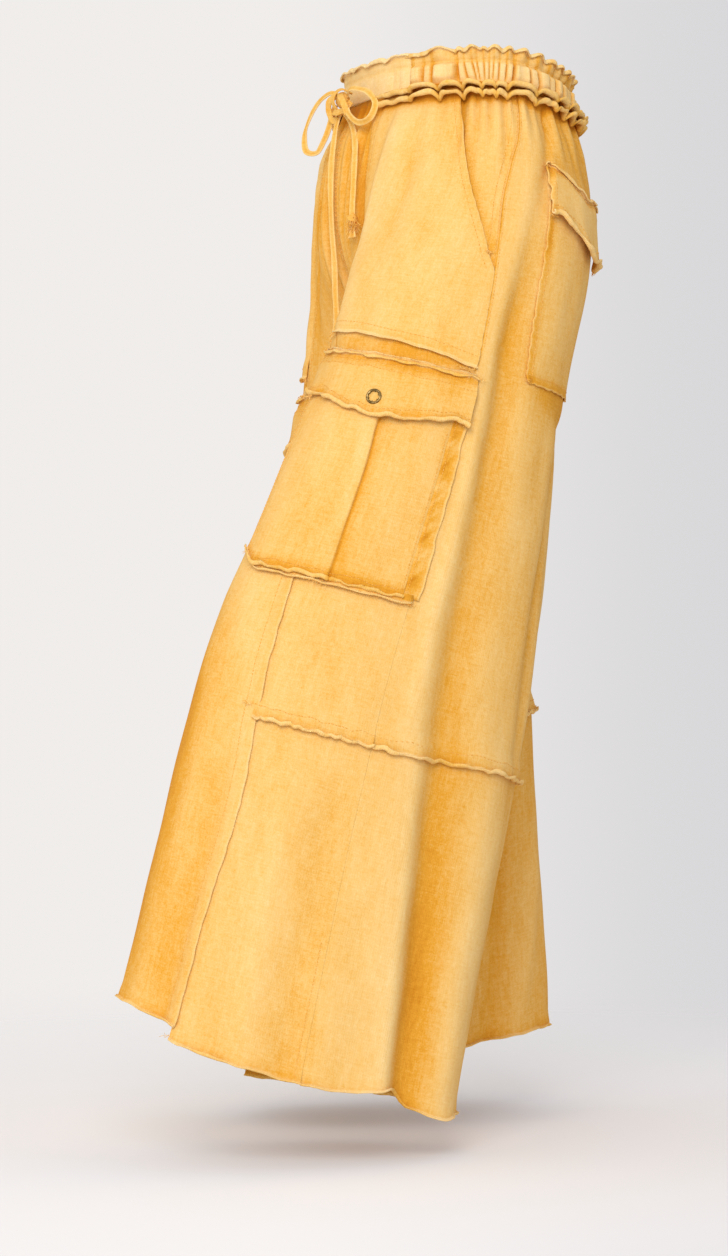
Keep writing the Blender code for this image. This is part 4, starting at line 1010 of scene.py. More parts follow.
def frontSideLift(around, drop):
    across = (around - readTable(princess, "around", drop)) / (cut["sideSeam"] - 0.25)
    rise = rawLip(thighEdge(across))(around, drop)
    # the slash edge stands a little away from the facing at its top
    gape = 0.0026 * np.exp(-((readTable(slash, "around", drop) - around) / 0.012) ** 2)
    return rise + gape * smooth((drop - 0.014) / 0.02) * (1 - smooth((drop - 0.06) / 0.10))


def facingLift(around, drop):
    shut = smooth((drop - 0.130) / 0.045)
    aside = around - readTable(slash, "around", drop)
    rise = smooth((aside - 0.01 * (1 - shut)) / (0.07 - 0.062 * shut))
    return -(cut["wall"] + 0.0013 * (1 - 0.8 * shut)) * (1 - (0.8 + 0.2 * shut) * rise)


def princessLift(around, drop):
    # below the cargo pocket the front's raw edge lies over the side piece
    near = smooth(1 - (readTable(princess, "around", drop) - around) / 0.012)
    return 0.0019 * near * smooth((drop - 0.470) / 0.02)


# flat sizes of the cut pieces in metres, (width, length) and area, for one leg
cutSizes = {
    "front_centre": ((0.235, 0.925), 0.187), "front_side": ((0.175, 0.265), 0.035),
    "pocket_facing": ((0.085, 0.180), 0.0085), "side_mid": ((0.150, 0.365), 0.045),
    "side_low": ((0.125, 0.305), 0.034), "back_upper": ((0.340, 0.615), 0.198),
    "back_low": ((0.430, 0.315), 0.130), "cargo_pocket": ((0.195, 0.195), 0.036),
    "cargo_gusset": ((0.0165, 0.192), 0.0031), "cargo_flap": ((0.192, 0.063), 0.0120),
    "back_pocket": ((0.145, 0.165), 0.023), "back_flap": ((0.148, 0.058), 0.0085),
}


def sewPiece(name, key, surface, columns, rows, **more):
    flat, area = cutSizes[name]
    return sewCloth(f"{name}_{key}_cloth", f"{name}_{key}", surface, columns, rows, flat, area,
                    key == "R", **more)


def sewLeg(key):
    gap = cut["seam"]
    top, kneeLow = line(cut["panelTop"]), line(cut["kneeSeam"] + cut["lap"])
    princessBefore, princessAfter = tableLine(princess, -gap), tableLine(princess, gap)
    seed = 1.0 if key == "L" else 7.0
    shapes = {}

    # the front's right edge reaches a few millimetres over the side piece below the pocket
    def overlap(drop):
        return princessBefore(drop) + 0.0050 * smooth((drop - 0.470) / 0.02)
    def frontTone(around, drop):
        # painted shade over the front, in front of the hip edge and beside the bow, fading out below
        # the crotch; darker down the shin, less so near the hem
        hip = smooth((readTable(hipEdge, "around", drop) - around) / 0.030)
        hip = hip * (1 - smooth((drop - 0.24) / 0.10))
        shin = smooth((drop - 0.42) / 0.25) * np.exp(-((around - 0.235) / 0.065) ** 2)
        shin = shin * (0.36 if key == "L" else 0.14) * (1 - 0.7 * smooth((drop - 0.84) / 0.07))
        return 0.04 - 0.16 * hip - shin
    shapes["front_centre"] = pieceSurface(
        key, line(-cut["closed"]), overlap, top, hemEdge(key, 0, cut["hemStep"][0]), lift=princessLift,
        right_="frontLap", low_="hemmed", seed=seed, toneOf=frontTone, wide=0.21)
    sewPiece("front_centre", key, shapes["front_centre"][0], steps(0.21, 0.002, 0.003),
             steps(0.91, 0, 0.004))

    shapes["front_side"] = pieceSurface(
        key, princessAfter, tableLine(slash, -gap), top, thighEdge, lift=frontSideLift,
        right_="folded", low_="flared", seed=seed + 0.7, wide=0.14)
    sewPiece("front_side", key, shapes["front_side"][0], steps(0.14, 0.002, 0.003),
             steps(0.26, 0, 0.005))

    def facingShade(around, drop):
        # painted shade on the facing along the slash edge, which stands over it
        return -0.20 * np.exp(-((around - readTable(slash, "around", drop)) / 0.016) ** 2)
    shapes["pocket_facing"] = pieceSurface(
        key, tableLine(slash, -0.018), tableLine(sideSeam, 0.0001), top, line(cut["slashEnd"]),
        lift=facingLift, seed=seed + 1.1, toneOf=facingShade)
    sewPiece("pocket_facing", key, shapes["pocket_facing"][0], steps(0.07, 0, 0.002, 0.003),
             steps(0.18))

    def thighStripShade(around, drop):
        # painted shade on the strip between the thigh seam's raised raw edge and the flap above it
        return -0.20 * smooth((drop - 0.262) / 0.006) * (1 - smooth((drop - 0.281) / 0.006))
    shapes["side_mid"] = pieceSurface(
        key, princessAfter, tableLine(sideSeam, 0.0001), lambda a: thighEdge(a) - cut["lap"],
        kneeLow, lift=rawLip(cut["kneeSeam"] + cut["lap"]), right_="plain", low_="kneeRaw",
        seed=seed + 1.9, toneOf=thighStripShade, wide=0.12)
    sewPiece("side_mid", key, shapes["side_mid"][0], steps(0.12, 0.002, 0.002),
             steps(0.365, 0, 0.005))

    shapes["side_low"] = pieceSurface(
        key, tableLine(princess, 0.0005), line(cut["sideSeam"] + 0.0001), line(cut["kneeSeam"]),
        hemEdge(key, cut["hemStep"][1], cut["sideSeam"]), low_="hemmed", left_="plain",
        right_="plain", seed=seed + 2.3, wide=0.12)
    sewPiece("side_low", key, shapes["side_low"][0], steps(0.12, 0.002, 0.002), steps(0.30, 0, 0.004))

    def seamAndBackShade(around, drop):
        # painted shadow of the side seam's lap as a thin dark line over the hip, and painted shade
        # over the seat and, a little, the whole back
        line = np.exp(-((around - readTable(sideSeam, "around", drop)) / 0.0022) ** 2)
        seat = smooth((around - 0.56) / 0.05) * (1 - smooth((drop - 0.27) / 0.06))
        seat = seat * (0.3 + 0.7 * smooth((drop - 0.10) / 0.08))
        back = 0.04 * smooth((around - 0.55) / 0.06)
        return -0.30 * line * (1 - smooth((drop - 0.27) / 0.03)) - 0.34 * seat - back
    shapes["back_upper"] = pieceSurface(
        key, tableLine(sideSeam, -0.0001), line(1 + cut["closed"]), top, kneeEdge,
        lift=lambda around, drop: rawLip(kneeEdge(
            (around - cut["sideSeam"]) / (1 - cut["sideSeam"])))(around, drop),
        left_="plain", low_="kneeRaw", seed=seed + 3.1, toneOf=seamAndBackShade, wide=0.33)
    sewPiece("back_upper", key, shapes["back_upper"][0], steps(0.33, 0.002, 0.002),
             steps(0.61, 0, 0.005))

    shapes["back_low"] = pieceSurface(
        key, line(cut["sideSeam"] - 0.0001), line(1 + cut["closed"]), lambda a: kneeEdge(a) - cut["lap"],
        hemEdge(key, cut["sideSeam"], 1), low_="hemmed", left_="plain", seed=seed + 3.7,
        # painted shade over the back of the lower leg, deeper further round
        toneOf=lambda around, drop: -0.10 * smooth((around - 0.55) / 0.06)
        - 0.06 * smooth((around - 0.74) / 0.1), wide=0.42)
    sewPiece("back_low", key, shapes["back_low"][0], steps(0.42, 0.002, 0.002), steps(0.31, 0, 0.004))

    for name, side, inset, start, end, long in (
            ("side_mid", "low", 0.0135, 0.01, 0.99, 0.12), ("back_upper", "low", 0.0135, 0.01, 0.99, 0.33),
            ("pocket_facing", "right", 0.0020, 0.02, 0.98, 0.18),
            ("pocket_facing", "right", 0.0085, 0.05, 0.95, 0.17),
            ("side_low", "right", 0.0060, 0.60, 0.98, 0.12),
            ("front_side", "right", 0.0070, 0.02, 0.66, 0.17),
            ("front_side", "low", 0.0105, 0.02, 0.98, 0.14),
            ("front_centre", "right", 0.0110, 0.52, 0.99, 0.43),
            ("front_centre", "right", 0.0050, 0.03, 0.28, 0.23),
            ("front_centre", "left", 0.0022, 0.02, 0.27, 0.24),
            ("back_upper", "right", 0.0022, 0.02, 0.42, 0.26),
            ("back_upper", "left", 0.0020, 0.02, 0.40, 0.24)):
        addStitches(key, *shapes[name], side, inset, start, end, long)


for legKey in legs:
    sewLeg(legKey)
print("legs sewn")

cargo = {
    "top": 0.302, "low": 0.494, "back": 0.4756, "lift": 0.0017, "fullness": 0.0028,
    "front": {"drop": [0.300, 0.494], "around": [0.230, 0.256]},
    "pleat": {"drop": [0.300, 0.345, 0.400, 0.450, 0.494],
              "around": [0.379, 0.386, 0.392, 0.394, 0.396]},
    "pleatStep": 0.0036,
    "gussetFront": 0.4755, "gussetBack": 0.4925,
    "flapFront": 0.222, "flapBack": 0.493, "flapTop": 0.281, "flapSlant": 0.009, "flapLift": 0.0066,
    "flapLow": {"around": [0.222, 0.270, 0.300, 0.340, 0.360, 0.380, 0.400, 0.430, 0.460, 0.475,
                           0.493],
                "low": [0.3250, 0.3265, 0.330, 0.337, 0.340, 0.341, 0.3395, 0.337, 0.331, 0.330,
                        0.333]},
    "snapAround": 0.373, "snapDrop": 0.3255,
}


def cargoLift(around, drop):
    front = readTable(cargo["front"], "around", drop)
    across = np.clip((around - front) / (cargo["back"] - front), 0, 1)
    down = np.clip((drop - cargo["top"]) / (cargo["low"] - cargo["top"]), 0, 1)
    full = cargo["fullness"] * np.sin(pi * across) ** 0.7 * np.sin(pi * down) ** 0.7
    return cargo["lift"] + full + 0.0008 * smooth((drop - 0.474) / 0.010)


def flapRise(around, drop):
    top = cargo["flapTop"] + cargo["flapSlant"] * (around - cargo["flapFront"]) / (
        cargo["flapBack"] - cargo["flapFront"])
    bow = 0.0012 * np.sin(pi * np.clip((around - 0.23) / 0.25, 0, 1))
    # it swells over the top of the pleat
    bow = bow + 0.0027 * np.exp(-((around - 0.375) / 0.034) ** 2) * smooth((drop - 0.298) / 0.03)
    return 0.0023 + (cargo["flapLift"] - 0.0023 + bow) * smooth((drop - top - 0.0005) / 0.015)


def sewCargoPocket(key):
    seed = 2.0 if key == "L" else 5.0

    def faceLow(across):
        corner = 0.015 * (1 - smooth(across / 0.16)) + 0.002 * (1 - smooth((1 - across) / 0.05))
        return cargo["low"] - corner - 0.0005

    def faceTone(around, drop):
        # a little paler in a band in its front third, darker all over, and darker towards its bottom edge
        return 0.03 * np.exp(-((around - 0.30) / 0.03) ** 2) - 0.06 - 0.13 * smooth((drop - 0.478) / 0.010)
    face = pieceSurface(
        key, tableLine(cargo["front"]), line(cargo["back"]), line(cargo["top"]), faceLow,
        lift=cargoLift, low_="pressed", right_="none", seed=seed, wide=0.18,
        pleat={"line": tableLine(cargo["pleat"]), "share": 0.56, "step": cargo["pleatStep"]},
        toneOf=faceTone)
    columns = steps(0.19, 0.002, 0.002)
    columns = np.concatenate([columns[(columns < 0.497) | (columns > 0.603)],
                              np.linspace(0.50, 0.60, 34)])
    columns.sort()
    sewPiece("cargo_pocket", key, face[0], columns, steps(0.19, 0.003, 0.005),
             rests=[f"side_mid_{key}_cloth"])

    # the second raw layer under the pocket's lower edge, with painted shade where it lies beneath that edge
    under = pieceSurface(
        key, lambda drop: readTable(cargo["front"], "around", drop) + 0.012, line(0.486),
        line(0.4850), lambda a: faceLow(a) + 0.0034, lift=lambda around, drop: 0.0012 + 0.0017 * smooth((drop - 0.487) / 0.005),
        low_="hemmed", right_="plain", left_="plain", seed=seed + 0.9,
        toneOf=lambda around, drop: -0.30 * (1 - smooth((drop - 0.492) / 0.004)), wide=0.18)
    sewCloth(f"pocketAllowance_{key}", None, under[0], steps(0.18), steps(0.014, 0, 0.004),
             (0.180, 0.014), 0.00235, key == "R", rests=[f"side_mid_{key}_cloth"], thick=0.0011)

    def gussetTone(around, drop):
        blotch = waver(drop, 0.034, 3.0) + 0.7 * waver(drop + around, 0.013, 1.0)
        return -0.14 + (-0.12 + 0.18 * blotch) * np.exp(-((around - 0.481) / 0.007) ** 2)
    gusset = pieceSurface(
        key, line(cargo["gussetFront"]), line(cargo["gussetBack"]), line(cargo["top"]),
        lambda a: cargo["low"] - 0.002 + 0 * a,
        lift=lambda around, drop: cargo["lift"] - 0.0002 * smooth((around - 0.4755) / 0.017),
        left_="none", right_="trimmed", low_="plain", seed=seed + 1.4, toneOf=gussetTone)
    sewPiece("cargo_gusset", key, gusset[0], steps(0.0125, 0.0, 0.003, medium=0.0011),
             steps(0.19, coarse=0.0028), rests=[f"side_mid_{key}_cloth"])

    def flapLow(across):
        around = cargo["flapFront"] + (cargo["flapBack"] - cargo["flapFront"]) * np.asarray(across)
        return readTable(cargo["flapLow"], "low", around, by="around") + 0.0012

    def flapTone(around, drop):
        # darker all over, in a band about 10 mm below the top edge, and at one spot near the back end
        blotch = -0.07 - 0.10 * np.exp(-((drop - 0.291) / 0.006) ** 2)
        return blotch - 0.10 * np.exp(-((around - 0.46) / 0.02) ** 2 - ((drop - 0.305) / 0.01) ** 2)
    flap = pieceSurface(
        key, line(cargo["flapFront"]), line(cargo["flapBack"]),
        lambda a: cargo["flapTop"] + cargo["flapSlant"] * a, flapLow, lift=flapRise,
        top_="doubled", low_="rolled", left_="plain", right_="plain", seed=seed + 2.2, toneOf=flapTone,
        wide=0.185)
    sewPiece("cargo_flap", key, flap[0], steps(0.185, 0.002, 0.002, coarse=0.0038),
             steps(0.058, 0.004, 0.005, coarse=0.0030), rests=[f"cargo_pocket_{key}_cloth"])

    # the raw allowance that stands above the flap's own top edge
    above = pieceSurface(
        key, line(cargo["flapFront"] + 0.001), line(cargo["flapBack"] - 0.003),
        lambda a: cargo["flapTop"] + cargo["flapSlant"] * a - 0.0034,
        lambda a: cargo["flapTop"] + cargo["flapSlant"] * a + 0.0020,
        lift=lambda around, drop: 0.0014 + 0 * drop, top_="trimmed", low_="plain", left_="plain",
        right_="plain", seed=seed + 2.9, wide=0.185)
    sewCloth(f"flapAllowance_{key}", None, above[0], steps(0.185, coarse=0.0030),
             steps(0.0065, 0.003, 0, medium=0.0011), (0.185, 0.010), 0.00130, key == "R",
             rests=[f"side_mid_{key}_cloth"], thick=0.0010)

    for shape, side, inset, start, end, long in (
            (face, "low", 0.0095, 0.01, 0.99, 0.19), (face, "right", 0.0025, 0.22, 0.95, 0.15),
            (face, "left", 0.0030, 0.05, 0.92, 0.17), (face, "left", 0.0090, 0.05, 0.92, 0.17),
            (gusset, "left", 0.0030, 0.10, 0.97, 0.18),
            (flap, "top", 0.0075, 0.01, 0.99, 0.185), (flap, "top", 0.0135, 0.01, 0.99, 0.185),
            (flap, "low", 0.0105, 0.01, 0.99, 0.185)):
        addStitches(key, *shape, side, inset, start, end, long)


snap = {"outer": 0.0074, "inner": 0.0050, "high": 0.0017}


def makeSnap(key):
    # a pressed ring: a rounded outer rim that slopes to a thinner lip round the cloth inside
    lift = float(flapRise(cargo["snapAround"], cargo["snapDrop"])) + 0.0002
    place = cloth(key, cargo["snapAround"], cargo["snapDrop"], lift)
    out = cloth(key, cargo["snapAround"], cargo["snapDrop"], lift + 0.001) - place
    made = bmesh.new()
    profile = [(snap["inner"], -0.0006), (snap["inner"], 0.0007), (0.0055, 0.0011),
               (0.0062, 0.0013), (0.0069, 0.0010), (snap["outer"], 0.0003), (0.0072, -0.0006)]
    corners = [made.verts.new((x, 0, z)) for x, z in profile]
    sides = [made.edges.new((corners[i], corners[(i + 1) % len(corners)])) for i in range(len(corners))]
    bmesh.ops.spin(made, geom=corners + sides, cent=(0, 0, 0), axis=(0, 0, 1), angle=2 * pi,
                   steps=56, use_merge=True)
    bmesh.ops.remove_doubles(made, verts=made.verts, dist=1e-6)
    bmesh.ops.recalc_face_normals(made, faces=made.faces)
    # six prongs pressed over from inside, as small bright studs on the lip
    for i in range(6):
        spot = Matrix.Rotation(pi * i / 3 + 0.3, 4, "Z") @ Matrix.Translation((0.0048, 0, 0.0007))
        shape = spot @ Matrix.Diagonal((0.0009, 0.0005, 0.0005, 1.0))
        bmesh.ops.create_uvsphere(made, u_segments=10, v_segments=6, radius=1.0, matrix=shape)
    made.transform(Vector(out).to_track_quat("Z", "Y").to_matrix().to_4x4())
    made.transform(Matrix.Translation(Vector(place)))
    mesh = bpy.data.meshes.new(f"snapRim_{key}")
    made.to_mesh(mesh)
    made.free()
    mesh.shade_smooth()
    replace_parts(link(f"snapRim_{key}", mesh, "snap_brass", antiqueBrass), f"snap_ring_{key}")


seatPocket = {
    "back": 0.790, "top": 0.118, "low": 0.281, "lift": 0.0017,
    "front": {"drop": [0.110, 0.200, 0.281], "around": [0.554, 0.558, 0.566]},
    "flapFront": 0.551, "flapBack": 0.795, "flapTop": 0.084, "topSlant": 0.025,
    "flapLow": 0.132, "lowSlant": 0.030, "flapLift": 0.0058,
}


def sewSeatPocket(key):
    seed = 3.0 if key == "L" else 6.0

    def seatLow(across):
        return seatPocket["low"] - 0.004 * (1 - smooth((1 - across) / 0.12))

    def seatTone(around, drop):
        # painted shadow by the front edge just under the flap's corner; darker all over and towards the
        # bottom
        return -0.05 - 0.16 * smooth((drop - 0.268) / 0.010) - 0.2 * np.exp(-((around - 0.562) / 0.008) ** 2
                                                                     - ((drop - 0.15) / 0.02) ** 2)
    pocket = pieceSurface(
        key, tableLine(seatPocket["front"]), line(seatPocket["back"]), line(seatPocket["top"]),
        seatLow, lift=lambda around, drop: seatPocket["lift"] + 0 * around, left_="serrated",
        right_="serrated", low_="serrated", seed=seed, toneOf=seatTone, wide=0.14)
    sewPiece("back_pocket", key, pocket[0], steps(0.14, 0.003, 0.003, coarse=0.0040),
             steps(0.165, 0, 0.003), rests=[f"back_upper_{key}_cloth"])

    def flapTop(across):
        return seatPocket["flapTop"] + seatPocket["topSlant"] * smooth(1.8 * np.asarray(across))

    def flapLow(across):
        return seatPocket["flapLow"] + seatPocket["lowSlant"] * smooth(1.8 * np.asarray(across))

    def flapLift(around, drop):
        across = (around - seatPocket["flapFront"]) / (seatPocket["flapBack"] - seatPocket["flapFront"])
        top, low = flapTop(across), flapLow(across)
        rise = smooth((drop - top) / (low - top) / 0.25)
        stand = 0.0026 * smooth((drop - top) / (low - top)) ** 1.5
        return 0.0018 + (seatPocket["flapLift"] - 0.0018) * rise + stand
    flap = pieceSurface(
        key, line(seatPocket["flapFront"]), line(seatPocket["flapBack"]), flapTop, flapLow,
        lift=flapLift, top_="rolled", low_="rolled", left_="serrated", right_="serrated",
        seed=seed + 1.3, wide=0.14,
        toneOf=lambda around, drop: -0.14 * np.exp(-((around - 0.565) / 0.02) ** 2
                                                   - ((drop - 0.092) / 0.006) ** 2))
    sewPiece("back_flap", key, flap[0], steps(0.14, 0.003, 0.003, coarse=0.0036),
             steps(0.052, 0.005, 0.005, coarse=0.0030), rests=[f"back_pocket_{key}_cloth"])
    for shape, side, inset, start, end, long in (
            (pocket, "left", 0.0055, 0.05, 0.97, 0.16), (pocket, "low", 0.0070, 0.02, 0.98, 0.14),
            (pocket, "right", 0.0055, 0.05, 0.97, 0.16), (flap, "top", 0.0085, 0.02, 0.98, 0.14),
            (flap, "low", 0.0110, 0.02, 0.98, 0.14), (flap, "left", 0.0060, 0.15, 0.85, 0.04)):
        addStitches(key, *shape, side, inset, start, end, long)


# where yarn ends stick out: around, drop, lift, half the stretch across, how many, how long
fraySpots = [
    (0.385, 0.4960, 0.0040, 0.010, 26, 0.0060), (0.483, 0.4965, 0.0034, 0.008, 18, 0.0045),
    (0.262, 0.4820, 0.0034, 0.010, 12, 0.0040), (0.320, 0.4955, 0.0036, 0.030, 10, 0.0030),
    (0.440, 0.4970, 0.0036, 0.030, 10, 0.0030),
    (0.246, 0.2640, 0.0034, 0.008, 18, 0.0045), (0.474, 0.2820, 0.0044, 0.012, 24, 0.0050),
    (0.240, 0.2790, 0.0040, 0.012, 20, 0.0038), (0.300, 0.2800, 0.0040, 0.040, 16, 0.0026),
    (0.390, 0.2830, 0.0040, 0.040, 16, 0.0026), (0.490, 0.2890, 0.0040, 0.010, 18, 0.0045),
    (0.491, 0.3330, 0.0070, 0.004, 12, 0.0030), (0.226, 0.3250, 0.0070, 0.006, 10, 0.0030),
    (0.463, 0.1745, 0.0016, 0.0045, 30, 0.0028),     # the bar tack at the pocket's end
    (0.357, 0.6140, 0.0030, 0.006, 12, 0.0040), (0.354, 0.9120, 0.0010, 0.006, 10, 0.0040),
    (0.554, 0.0850, 0.0040, 0.006, 14, 0.0036), (0.553, 0.1330, 0.0080, 0.006, 12, 0.0036),
    (0.792, 0.1080, 0.0040, 0.006, 14, 0.0040), (0.793, 0.1620, 0.0090, 0.006, 14, 0.0040),
    (0.568, 0.2790, 0.0034, 0.006, 10, 0.0030), (0.786, 0.2820, 0.0034, 0.006, 10, 0.0030),
]


def frayCloth(key):
    rng = np.random.default_rng(21)
    roots = []
    for around, drop, lift, reach, count, long in fraySpots:
        around = around + rng.uniform(-reach, reach, count)
        drop = drop + rng.uniform(-0.0016, 0.0010, count)
        place = cloth(key, around, drop, lift)
        away = 0.8 * (cloth(key, around, drop + 0.001, lift) - place)
        away += 0.5 * (cloth(key, around, drop, lift + 0.001) - place)
        away += (cloth(key, around + 0.001, drop, lift) - place) * rng.normal(0, 1.6, (count, 1))
        roots += [(place[i], away[i] / 0.001, long * rng.uniform(0.5, 1.3)) for i in range(count)]
    strands(f"rawYarnEnds_{key}", roots, 31)


for legKey in legs:
    sewCargoPocket(legKey)
    makeSnap(legKey)
    sewSeatPocket(legKey)
    frayCloth(legKey)
print("pockets sewn")

# where the elastic pinches the casing, its heading and the ruffle under it, on each half
waist = {
    "creases": [0.206, 0.240, 0.262, 0.336, 0.357, 0.381, 0.391, 0.407, 0.420, 0.431, 0.447, 0.468,
                0.488, 0.544, 0.572, 0.614, 0.640, 0.681, 0.716, 0.745, 0.792, 0.812, 0.858, 0.892,
                0.931, 0.958, 1.001],
    "headingCreases": [0.238, 0.330, 0.350, 0.397, 0.416, 0.458, 0.494, 0.542, 0.600, 0.650, 0.690,
                       0.735, 0.780, 0.830, 0.872, 0.915, 0.960, 1.001],
    "scallops": [0.125, 0.222, 0.297, 0.356, 0.404, 0.437, 0.466, 0.548, 0.615, 0.668, 0.720, 0.775,
                 0.832, 0.880, 0.930, 0.975, 1.03],
    "puff": 0.0094, "headingWave": 0.0044, "ruffleWave": 0.0050,
}


def puffed(way, creases, hold):
    # 0 at each crease and 1 on the bulge between two of them, which it reaches after hold of
    # their distance; the same, lower on a narrow bulge; and how far its cloth spreads sideways
    around = np.where(way > 1, 2 - way, np.abs(way))
    marks = np.array(creases)
    i = np.clip(np.searchsorted(marks, around, side="right") - 1, 0, len(marks) - 2)
    wide = marks[i + 1] - marks[i]
    t = np.clip((around - marks[i]) / wide, 0, 1)
    spread = -wide * np.sin(2 * pi * t) * np.where(way > 1, -1, 1)
    rise = smooth(t / hold) * smooth((1 - t) / hold)
    return rise, np.minimum(1, wide / 0.045) ** 0.6 * rise, spread


def casingSurface(across, down):
    # it starts under the flat front's ends
    way = cut["elasticStart"] - 0.012 + (2 - 2 * cut["elasticStart"] + 0.024) * across
    around = np.where(way > 1, 2 - way, way)
    edge = edges["rolled"]
    along = way * 0.42
    radius, curl = curlOf(edge, along, 4.0)
    total = cut["bandLow"] + 0.0024 - cut["headingTop"] + curl - radius
    inset = total * down
    seen, height, tone = edgeShape(dict(edge, size=0.024, flutter=0.0010, ragged=0.0005), inset,
                                   along, 4.0)
    wave = puffed(way, waist["headingCreases"], 0.5)[1]
    free = smooth((around - 0.197) / 0.010)
    drop = cut["headingTop"] + seen - 0.0030 * (wave - 0.5) * smooth(1 - inset / 0.013) * free
    t = np.clip((drop - cut["bandTop"]) / (cut["bandLow"] - cut["bandTop"]), 0, 1)
    body = smooth(t / 0.20) * smooth((1.02 - t) / 0.40)
    slant = 0.0080 * waver(way, 0.17, 2.0) * (2 * t - 1)
    rise, gather, spread = puffed(way + slant, waist["creases"], 0.30)
    gather = gather * (0.78 + 0.22 * waver(way, 0.053, 4.0))
    heading = smooth((cut["bandTop"] + 0.0015 - drop) / 0.009)
    height = height - 0.0018 * (1 - free) + 0.0006
    height = height + body * waist["puff"] * (gather - 0.16) * free
    height = height + heading * (0.0008 + waist["headingWave"] * (wave - 0.40)) * free
    # tucks at the stitch line
    height = height - 0.0009 * np.exp(-((drop - cut["bandTop"]) / 0.0015) ** 2)
    # painted highlight on the puffs and painted shade in the creases between them, in the tuck at the
    # stitch line and over the lowest part above the ruffle
    tone = 0.56 + tone + 0.62 * (0.35 + 0.65 * body) * free * (rise - 0.68) - 0.12 * np.exp(
        -((drop - cut["bandTop"]) / 0.003) ** 2) - 0.40 * smooth((t - 0.82) / 0.18)
    return ring(way + 0.08 * spread * body, drop, height), tone, np.stack([way * 0.6, -drop], -1)


casing = sewCloth("waistband_elastic_cloth", "waistband_elastic", casingSurface,
                  np.linspace(0, 1, 541), steps(0.037, 0.005, 0.0, coarse=0.0016), (0.940, 0.038),
                  0.0355, rests=["back_upper_L_cloth"], held="gathered")


def flatFrontSurface(across, down):
    way = cut["elasticStart"] * (2 * across - 1)
    edge = dict(edges["rolled"], flutter=0.0008)
    along = way * 0.42
    radius, curl = curlOf(edge, along, 4.0)
    total = cut["bandLow"] - cut["headingTop"] + curl - radius
    seen, height, tone = edgeShape(edge, total * down, along, 4.0)
    drop = cut["headingTop"] + seen
    t = np.clip((drop - cut["bandTop"]) / (cut["bandLow"] - cut["bandTop"]), 0, 1)
    height = height + 0.0010 + 0.0010 * np.sin(pi * t) ** 0.6
    for seam in (-0.168, -0.149, 0.149, 0.168):      # stitched down at the elastic's ends
        height = height - 0.0009 * np.exp(-((way - seam) / 0.0035) ** 2) * np.sin(pi * t) ** 0.3
    height = height + 0.0007 * waver(along, 0.030, 2.0) * np.sin(pi * t)
    height = height - 0.0019 * smooth((np.abs(way) - 0.184) / 0.015)
    height = height - 0.0006 * np.exp(-((drop - cut["bandTop"]) / 0.0016) ** 2)
    # painted light: a paler tone stands in for light on the flat front, with painted shade in the tuck at
    # the stitch line
    tone = 0.82 + tone - 0.12 * np.exp(-((drop - cut["bandTop"]) / 0.003) ** 2)
    return ring(way, drop, height), tone, np.stack([way * 0.6, -drop], -1)


sewCloth("waistband_front_cloth", "waistband_front", flatFrontSurface, np.linspace(0, 1, 121),
         steps(0.037, 0.005, 0.0, coarse=0.0016), (0.187, 0.041), 0.0076,
         rests=["front_centre_L_cloth"], held="gathered")


def ruffleSurface(startDrop, lowDrop, base, reach, seed):
    def surface(across, down):
        way = cut["ruffleStart"] + (2 - 2 * cut["ruffleStart"]) * across
        edge = dict(edges["rolled"], radius=0.0016, curl=0.0062, size=0.022, ragged=0.0006,
                    flutter=0.0008, tone=0.10, beside=-0.12)
        along = way * 0.45
        radius, curl = curlOf(edge, along, seed)
        rise, wave, spread = puffed(way + 0.004 * np.sin(seed), waist["scallops"], 0.40)
        around = np.where(way > 1, 2 - way, way)
        gather = smooth((around - 0.205) / 0.03)
        # it hangs lowest at each pinch and arches up between them
        low = lowDrop + (0.0020 - 0.0040 * wave) * gather + 0.0006 * waver(along, 0.05, seed)
        total = low - startDrop + curl - radius
        toLow = total * (1 - down)
        seen, height, tone = edgeShape(edge, toLow, along, seed)
        drop = low - seen
        t = np.clip(down, 0, 1)
        height = height + 0.0010 + base * smooth(t / 0.4) + reach * t
        height = height + waist["ruffleWave"] * (wave - 0.10) * smooth(t / 0.8) * gather
        # painted shade over the upper half, which tucks under the casing, and in the pinches between the
        # scallops
        tone = 0.58 + tone - 0.50 * (1 - smooth(down / 0.5)) - 0.34 * (1 - rise) * gather
        place = ring(way + 0.13 * spread * smooth(t / 0.7) * gather, drop, height)
        return place, tone, np.stack([way * 0.6, -drop], -1)
    return surface


sewCloth("waist_ruffle_cloth", "waist_ruffle",
         ruffleSurface(cut["panelTop"] + 0.0004, cut["ruffleLow"] + 0.0006, 0.0012, 0.0012, 1.0),
         np.linspace(0, 1, 561), steps(0.0145, 0.0, 0.005, coarse=0.0016, medium=0.0014),
         (1.150, 0.016), 0.0165, rests=["back_upper_L_cloth"], held="gathered", thick=0.0011)
sewCloth("ruffleUpperLayer", None,
         ruffleSurface(cut["panelTop"] - 0.0034, 0.0196, 0.0044, 0.0012, 2.0),
         np.linspace(0, 1, 561), steps(0.0105, 0.0, 0.005, coarse=0.0016, medium=0.0014),
         (1.150, 0.0136), 0.0156, rests=["waist_ruffle_cloth"], held="gathered", thick=0.0011)
print("waist gathered")

